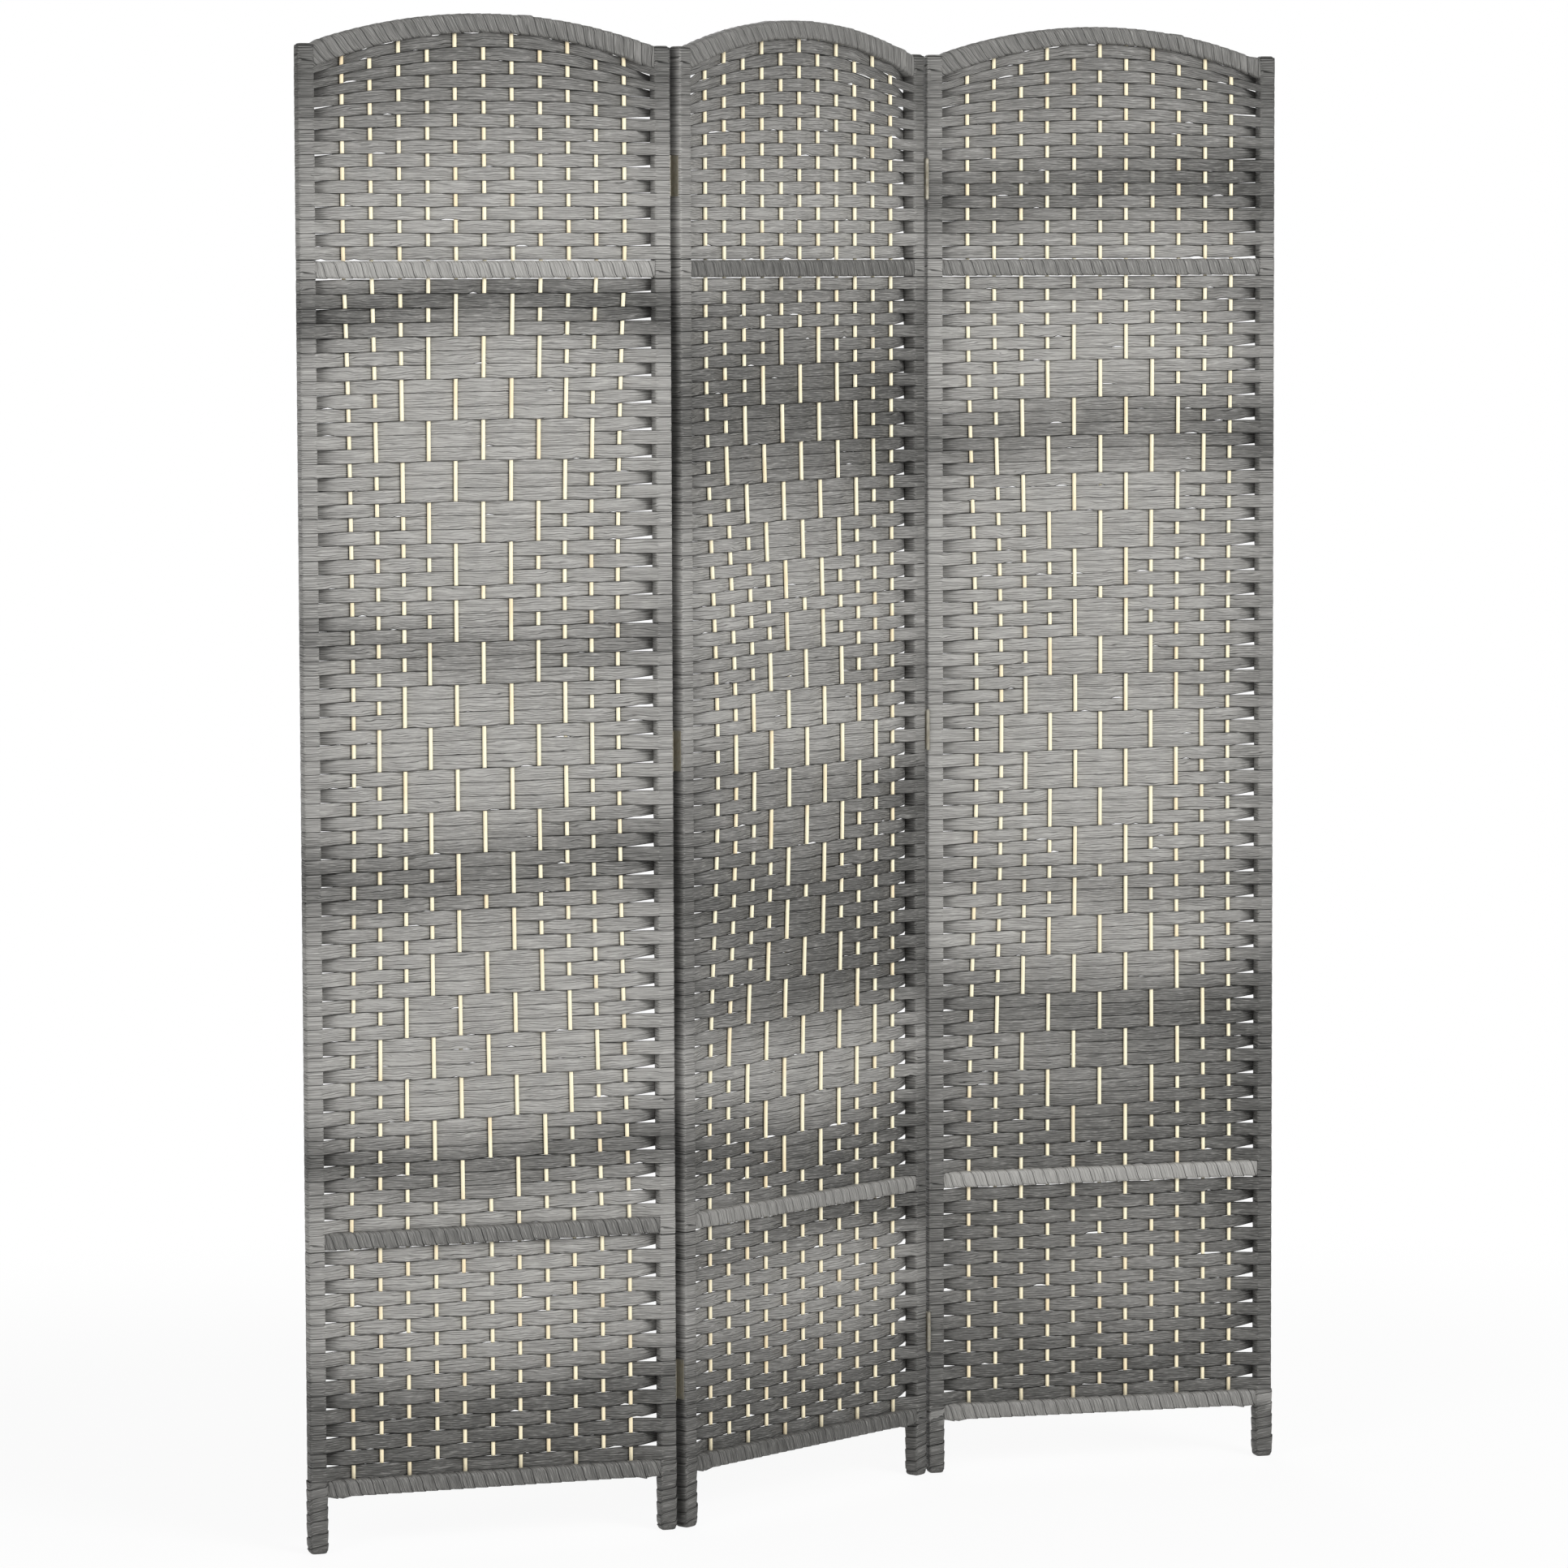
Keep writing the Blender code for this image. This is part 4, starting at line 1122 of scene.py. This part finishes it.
class DIVIDER_OT_wind_rails(Operator):
    """Wind ribbon round the arch and the three straight rails of each panel"""

    bl_idname = "divider.wind_rails"
    bl_label = "Wind Rails"

    def execute(self, context):
        sizes = context.scene.divider_windings
        tree = wound_ribbon_tree(shared_material("wound_ribbon"))
        span = INNER_RIGHT - INNER_LEFT
        arch_length = 2 * ARCH_RADIUS * math.asin(span / 2 / ARCH_RADIUS)
        for order, side in enumerate(SIDES):
            for number, rail in enumerate(("top", *RAILS)):
                arched = rail == "top"
                length = arch_length if arched else span
                inputs = {
                    "Turns": round(length / sizes.pitch / (1.0 if arched else 1.25)),
                    "Length": length, "Half Depth": RAIL_HALF_DEPTH, "Half Height": RAIL_HALF_HEIGHT,
                    "Thickness": sizes.thickness, "Overlap": sizes.overlap, "Wander": sizes.wander,
                    "Lumps": 0.0016 if arched else 0.0003, "Squareness": RAIL_SQUARENESS,
                    "Seed": float(order * 13 + number * 5), "Slant": 0.0036 if arched else 0.0018,
                    "Tail": 0.0024 if rail == "bottom" else 0.0,
                }
                if arched:
                    left, right = ARCH_RISES[side]
                    inputs |= {"Arched": 1.0, "Left Rise": left, "Right Rise": right, "Overrun": 0.006}
                mesh = grown(f"{side}_{rail}", tree, inputs)
                z = CROWN_HEIGHT - RAIL_HALF_HEIGHT if arched else RAIL_Z[rail]
                moved_mesh(mesh, INNER_LEFT, z)
                wound_piece(side, f"{rail}_rail", [mesh], level_dye(WINDING_DYE[side][rail]))
        return {"FINISHED"}


class DIVIDER_OT_wind_feet(Operator):
    """Wind ribbon round the foot of each stile and close its end with a pad"""

    bl_idname = "divider.wind_feet"
    bl_label = "Wind Feet"

    def execute(self, context):
        sizes = context.scene.divider_windings
        tree = wound_ribbon_tree(shared_material("wound_ribbon"))
        upright = Matrix.Rotation(math.radians(-90), 4, "Y")
        for order, side in enumerate(SIDES):
            for number, (end, x) in enumerate(STILE_X.items()):
                half = STILE_HALF + (OUTER_FOOT_SWELL if side == end else SEAM_FOOT_SWELL)
                mesh = grown(f"{side}_{end}_foot", tree, {
                    "Turns": 6, "Length": FOOT_TOP + 2 * RAIL_HALF_HEIGHT - FOOT_CLEARANCE,
                    "Half Depth": half, "Half Height": half, "Thickness": sizes.thickness,
                    "Overlap": 0.22, "Wander": 0.008, "Lumps": 0.0010, "Squareness": STILE_SQUARENESS,
                    "Seed": float(order * 19 + number * 11), "Rounding": 0.0028, "Slant": 0.0008,
                })
                moved_mesh(mesh, x, FOOT_CLEARANCE, upright)
                meshes = [mesh, end_pad(half, 0, -1, x)]
                wound_piece(side, f"{end}_foot", meshes, foot_dye(side))
        return {"FINISHED"}


def screw_mesh(material):
    """A countersunk screw head with a cross recess, its face towards -Z."""
    mesh = bmesh.new()
    outer, inner = [], []
    for step in range(SCREW_SIDES):
        turn = math.tau * step / SCREW_SIDES
        across, up = math.cos(turn), math.sin(turn)
        reach = SCREW_RADIUS * (0.22 + 0.42 * abs(math.cos(2 * turn)) ** 3)
        outer.append(mesh.verts.new((SCREW_RADIUS * across, SCREW_RADIUS * up, 0)))
        inner.append(mesh.verts.new((reach * across, reach * up, 0.00005)))
    low = [mesh.verts.new((v.co.x * 0.5, v.co.y * 0.5, SCREW_DEPTH * 0.6)) for v in inner]
    back = [mesh.verts.new((v.co.x * 0.6, v.co.y * 0.6, SCREW_DEPTH)) for v in outer]
    for near, far in ((back, outer), (outer, inner), (inner, low)):
        strip(mesh, near, far)
    mesh.faces.new(low)
    mesh.faces.new(back[::-1])
    bmesh.ops.recalc_face_normals(mesh, faces=mesh.faces)
    return mesh_from(mesh, "screw", material)


class DIVIDER_OT_add_screws(Operator):
    """Set the screws in the leaves of the hinges"""

    bl_idname = "divider.add_screws"
    bl_label = "Add Screws"

    def execute(self, context):
        brass = shared_material("dull_brass")
        tree = hinge_screws_tree(brass)
        leaves = sorted(name for name in frame["nodes"] if name.endswith("_leaf"))
        for side in SIDES:
            meshes = [
                self.leaf_screws(tree, brass, leaf, side)
                for leaf in leaves if frame["nodes"][leaf]["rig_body"] == f"{side}_panel"
            ]
            obj = piece(side, "hinge_screws", meshes)
            obj.data.shade_flat()
        return {"FINISHED"}

    def leaf_screws(self, tree, brass, leaf, side):
        local = [panel_place(side).inverted() @ v.co for v in frame["nodes"][leaf].data.vertices]
        on_right = min(p.x for p in local) > PANEL_WIDTH / 2
        at_back = max(p.y for p in local) > -min(p.y for p in local)
        outermost = max if on_right else min
        face = outermost(p.x for p in local if abs(p.y) < STILE_HALF)
        screw = bpy.data.objects.new("screw", screw_mesh(brass))
        screw.data.transform(Matrix.Rotation(math.radians(-90 if on_right else 90), 4, "Y"))
        y = (2 * STILE_HALF - LEAF_WIDTH) / 2 * (1 if at_back else -1)
        mesh = grown("screws", tree, {
            "Screw": screw, "Place": (face, y, middle_of(leaf).z - SCREW_SPACING / 2),
            "Count": 2, "Spacing": SCREW_SPACING,
        })
        bpy.data.objects.remove(screw)
        return mesh


class DIVIDER_OT_finish_frame(Operator):
    """Give the wooden frame and the hinges their finishes"""

    bl_idname = "divider.finish_frame"
    bl_label = "Finish Frame"

    def execute(self, context):
        wood, brass = shared_material("frame_timber"), shared_material("dull_brass")
        finishes = {"stile": wood, "rail": wood, "leaf": brass, "pin": brass}
        for name, node in frame["nodes"].items():
            finish = finishes.get(name.split("_")[-1])
            if finish:
                node.data.materials.clear()
                node.data.materials.append(finish)
        return {"FINISHED"}


WHITE = (1.0, 1.0, 1.0, 1.0)
# Each lamp's place, diameter and share of the front lamp's power, and the point that all face
LAMPS = (
    ("front_lamp", (1.6, -5.2, 3.4), 3.2, 1.0),
    ("side_lamp", (-4.0, -2.4, 2.6), 2.4, 0.28),
    ("back_lamp", (1.5, 4.5, 3.2), 2.6, 0.30),
)
LAMP_TARGET = (0.0, 0.0, 0.9)
# The camera's place, and its turn, tilt and roll in degrees
CAMERA_PLACE = (-3.5608, -6.8751, 1.5107)
CAMERA_TURNS = (-27.241, 90 - 4.654, -0.196)


def seen_by(tree, *kinds):
    """1 for the named kinds of ray and 0 for all others."""
    path = tree.node("ShaderNodeLightPath")
    seen = 0.0
    for kind in kinds:
        seen = (Value(tree, path.outputs[f"Is {kind} Ray"]) + seen).least(1.0)
    return seen


def stage_material(name, brightness, shadow_share, reach):
    """White to the camera and in reflections, with a share near the middle that takes shadows."""
    tree = ShaderTree(name)
    matt = tree.node("ShaderNodeBsdfDiffuse", {"Color": (brightness,) * 3 + (1.0,)})
    glow = tree.node("ShaderNodeEmission", {"Color": WHITE, "Strength": 1.0})
    x, y, _ = tree.object_place()
    away = (x * x + y * y).root() / reach
    seen = seen_by(tree, "Camera", "Glossy", "Transmission")
    share = seen * (1 - shadow_share * (1 - away.ramp(0.5, 1.0)))
    sockets = {0: share, 1: matt.outputs[0], 2: glow.outputs[0]}
    return tree.finish(tree.node("ShaderNodeMixShader", sockets))


class DIVIDER_OT_set_stage(Operator):
    """Set the floor, the backdrop, the lamps and the camera"""

    bl_idname = "divider.set_stage"
    bl_label = "Set Stage"

    def execute(self, context):
        settings = context.scene.divider_stage
        self.floor()
        self.surroundings(settings)
        self.lamps(settings)
        self.camera(settings)
        context.scene.view_settings.view_transform = "Standard"
        return {"FINISHED"}

    def floor(self):
        mesh = bmesh.new()
        bmesh.ops.create_grid(mesh, x_segments=1, y_segments=1, size=30.0)
        material = stage_material("pale_floor", 0.90, 0.10, 2.4)
        floor = linked("stage_floor", mesh_from(mesh, "stage_floor", material))

    def surroundings(self, settings):
        world = bpy.data.worlds.new("surroundings")
        bpy.context.scene.world = world
        world.use_nodes = True
        tree = Tree(world.node_tree)
        strength = seen_by(tree, "Camera", "Transmission") * (1 - settings.sky) + settings.sky
        background = tree.node("ShaderNodeBackground", {"Color": WHITE, "Strength": strength})
        tree.node("ShaderNodeOutputWorld", {"Surface": background.outputs[0]})

    def lamps(self, settings):
        for name, place, size, share in LAMPS:
            data = bpy.data.lights.new(name, "AREA")
            data.shape = "DISK"
            data.size = size
            data.energy = settings.lamp_power * share
            lamp = linked(name, data)
            lamp.location = place
            aim = Vector(LAMP_TARGET) - Vector(place)
            lamp.rotation_euler = aim.to_track_quat("-Z", "Y").to_euler()

    def camera(self, settings):
        data = bpy.data.cameras.new("camera")
        data.lens = settings.lens
        data.sensor_width = 36.0
        data.clip_end = 100.0
        camera = linked("camera", data)
        turn, tilt, roll = (
            Matrix.Rotation(math.radians(angle), 4, axis) for angle, axis in zip(CAMERA_TURNS, "ZXZ")
        )
        camera.matrix_world = Matrix.Translation(CAMERA_PLACE) @ turn @ tilt @ roll
        bpy.context.scene.camera = camera


class DIVIDER_PT_sidebar(Panel):
    bl_label = "Room Divider"
    bl_idname = "DIVIDER_PT_sidebar"
    bl_space_type = "VIEW_3D"
    bl_region_type = "UI"
    bl_category = "Divider"

    def draw(self, context):
        for settings in SETTINGS:
            group = getattr(context.scene, settings)
            box = self.layout.box()
            for name in group.bl_rna.properties.keys():
                if name not in ("rna_type", "name"):
                    box.prop(group, name)
        for operator in OPERATORS:
            self.layout.operator(operator.bl_idname)


SETTINGS = {
    "divider_weave": DividerWeave,
    "divider_windings": DividerWindings,
    "divider_finishes": DividerFinishes,
    "divider_stage": DividerStage,
}
OPERATORS = (
    DIVIDER_OT_set_stage,
    DIVIDER_OT_finish_frame,
    DIVIDER_OT_weave_panels,
    DIVIDER_OT_add_sticks,
    DIVIDER_OT_wind_rails,
    DIVIDER_OT_wind_feet,
    DIVIDER_OT_add_screws,
)


def register():
    for group in SETTINGS.values():
        bpy.utils.register_class(group)
    for name, group in SETTINGS.items():
        setattr(bpy.types.Scene, name, PointerProperty(type=group))
    for operator in OPERATORS:
        bpy.utils.register_class(operator)
    bpy.utils.register_class(DIVIDER_PT_sidebar)


def unregister():
    bpy.utils.unregister_class(DIVIDER_PT_sidebar)
    for operator in reversed(OPERATORS):
        bpy.utils.unregister_class(operator)
    for name, group in SETTINGS.items():
        delattr(bpy.types.Scene, name)
        bpy.utils.unregister_class(group)


def main():
    register()
    bpy.ops.divider.set_stage()
    bpy.ops.divider.finish_frame()
    bpy.ops.divider.weave_panels()
    bpy.ops.divider.add_sticks()
    bpy.ops.divider.wind_rails()
    bpy.ops.divider.wind_feet()
    bpy.ops.divider.add_screws()


if __name__ == "__main__":
    main()
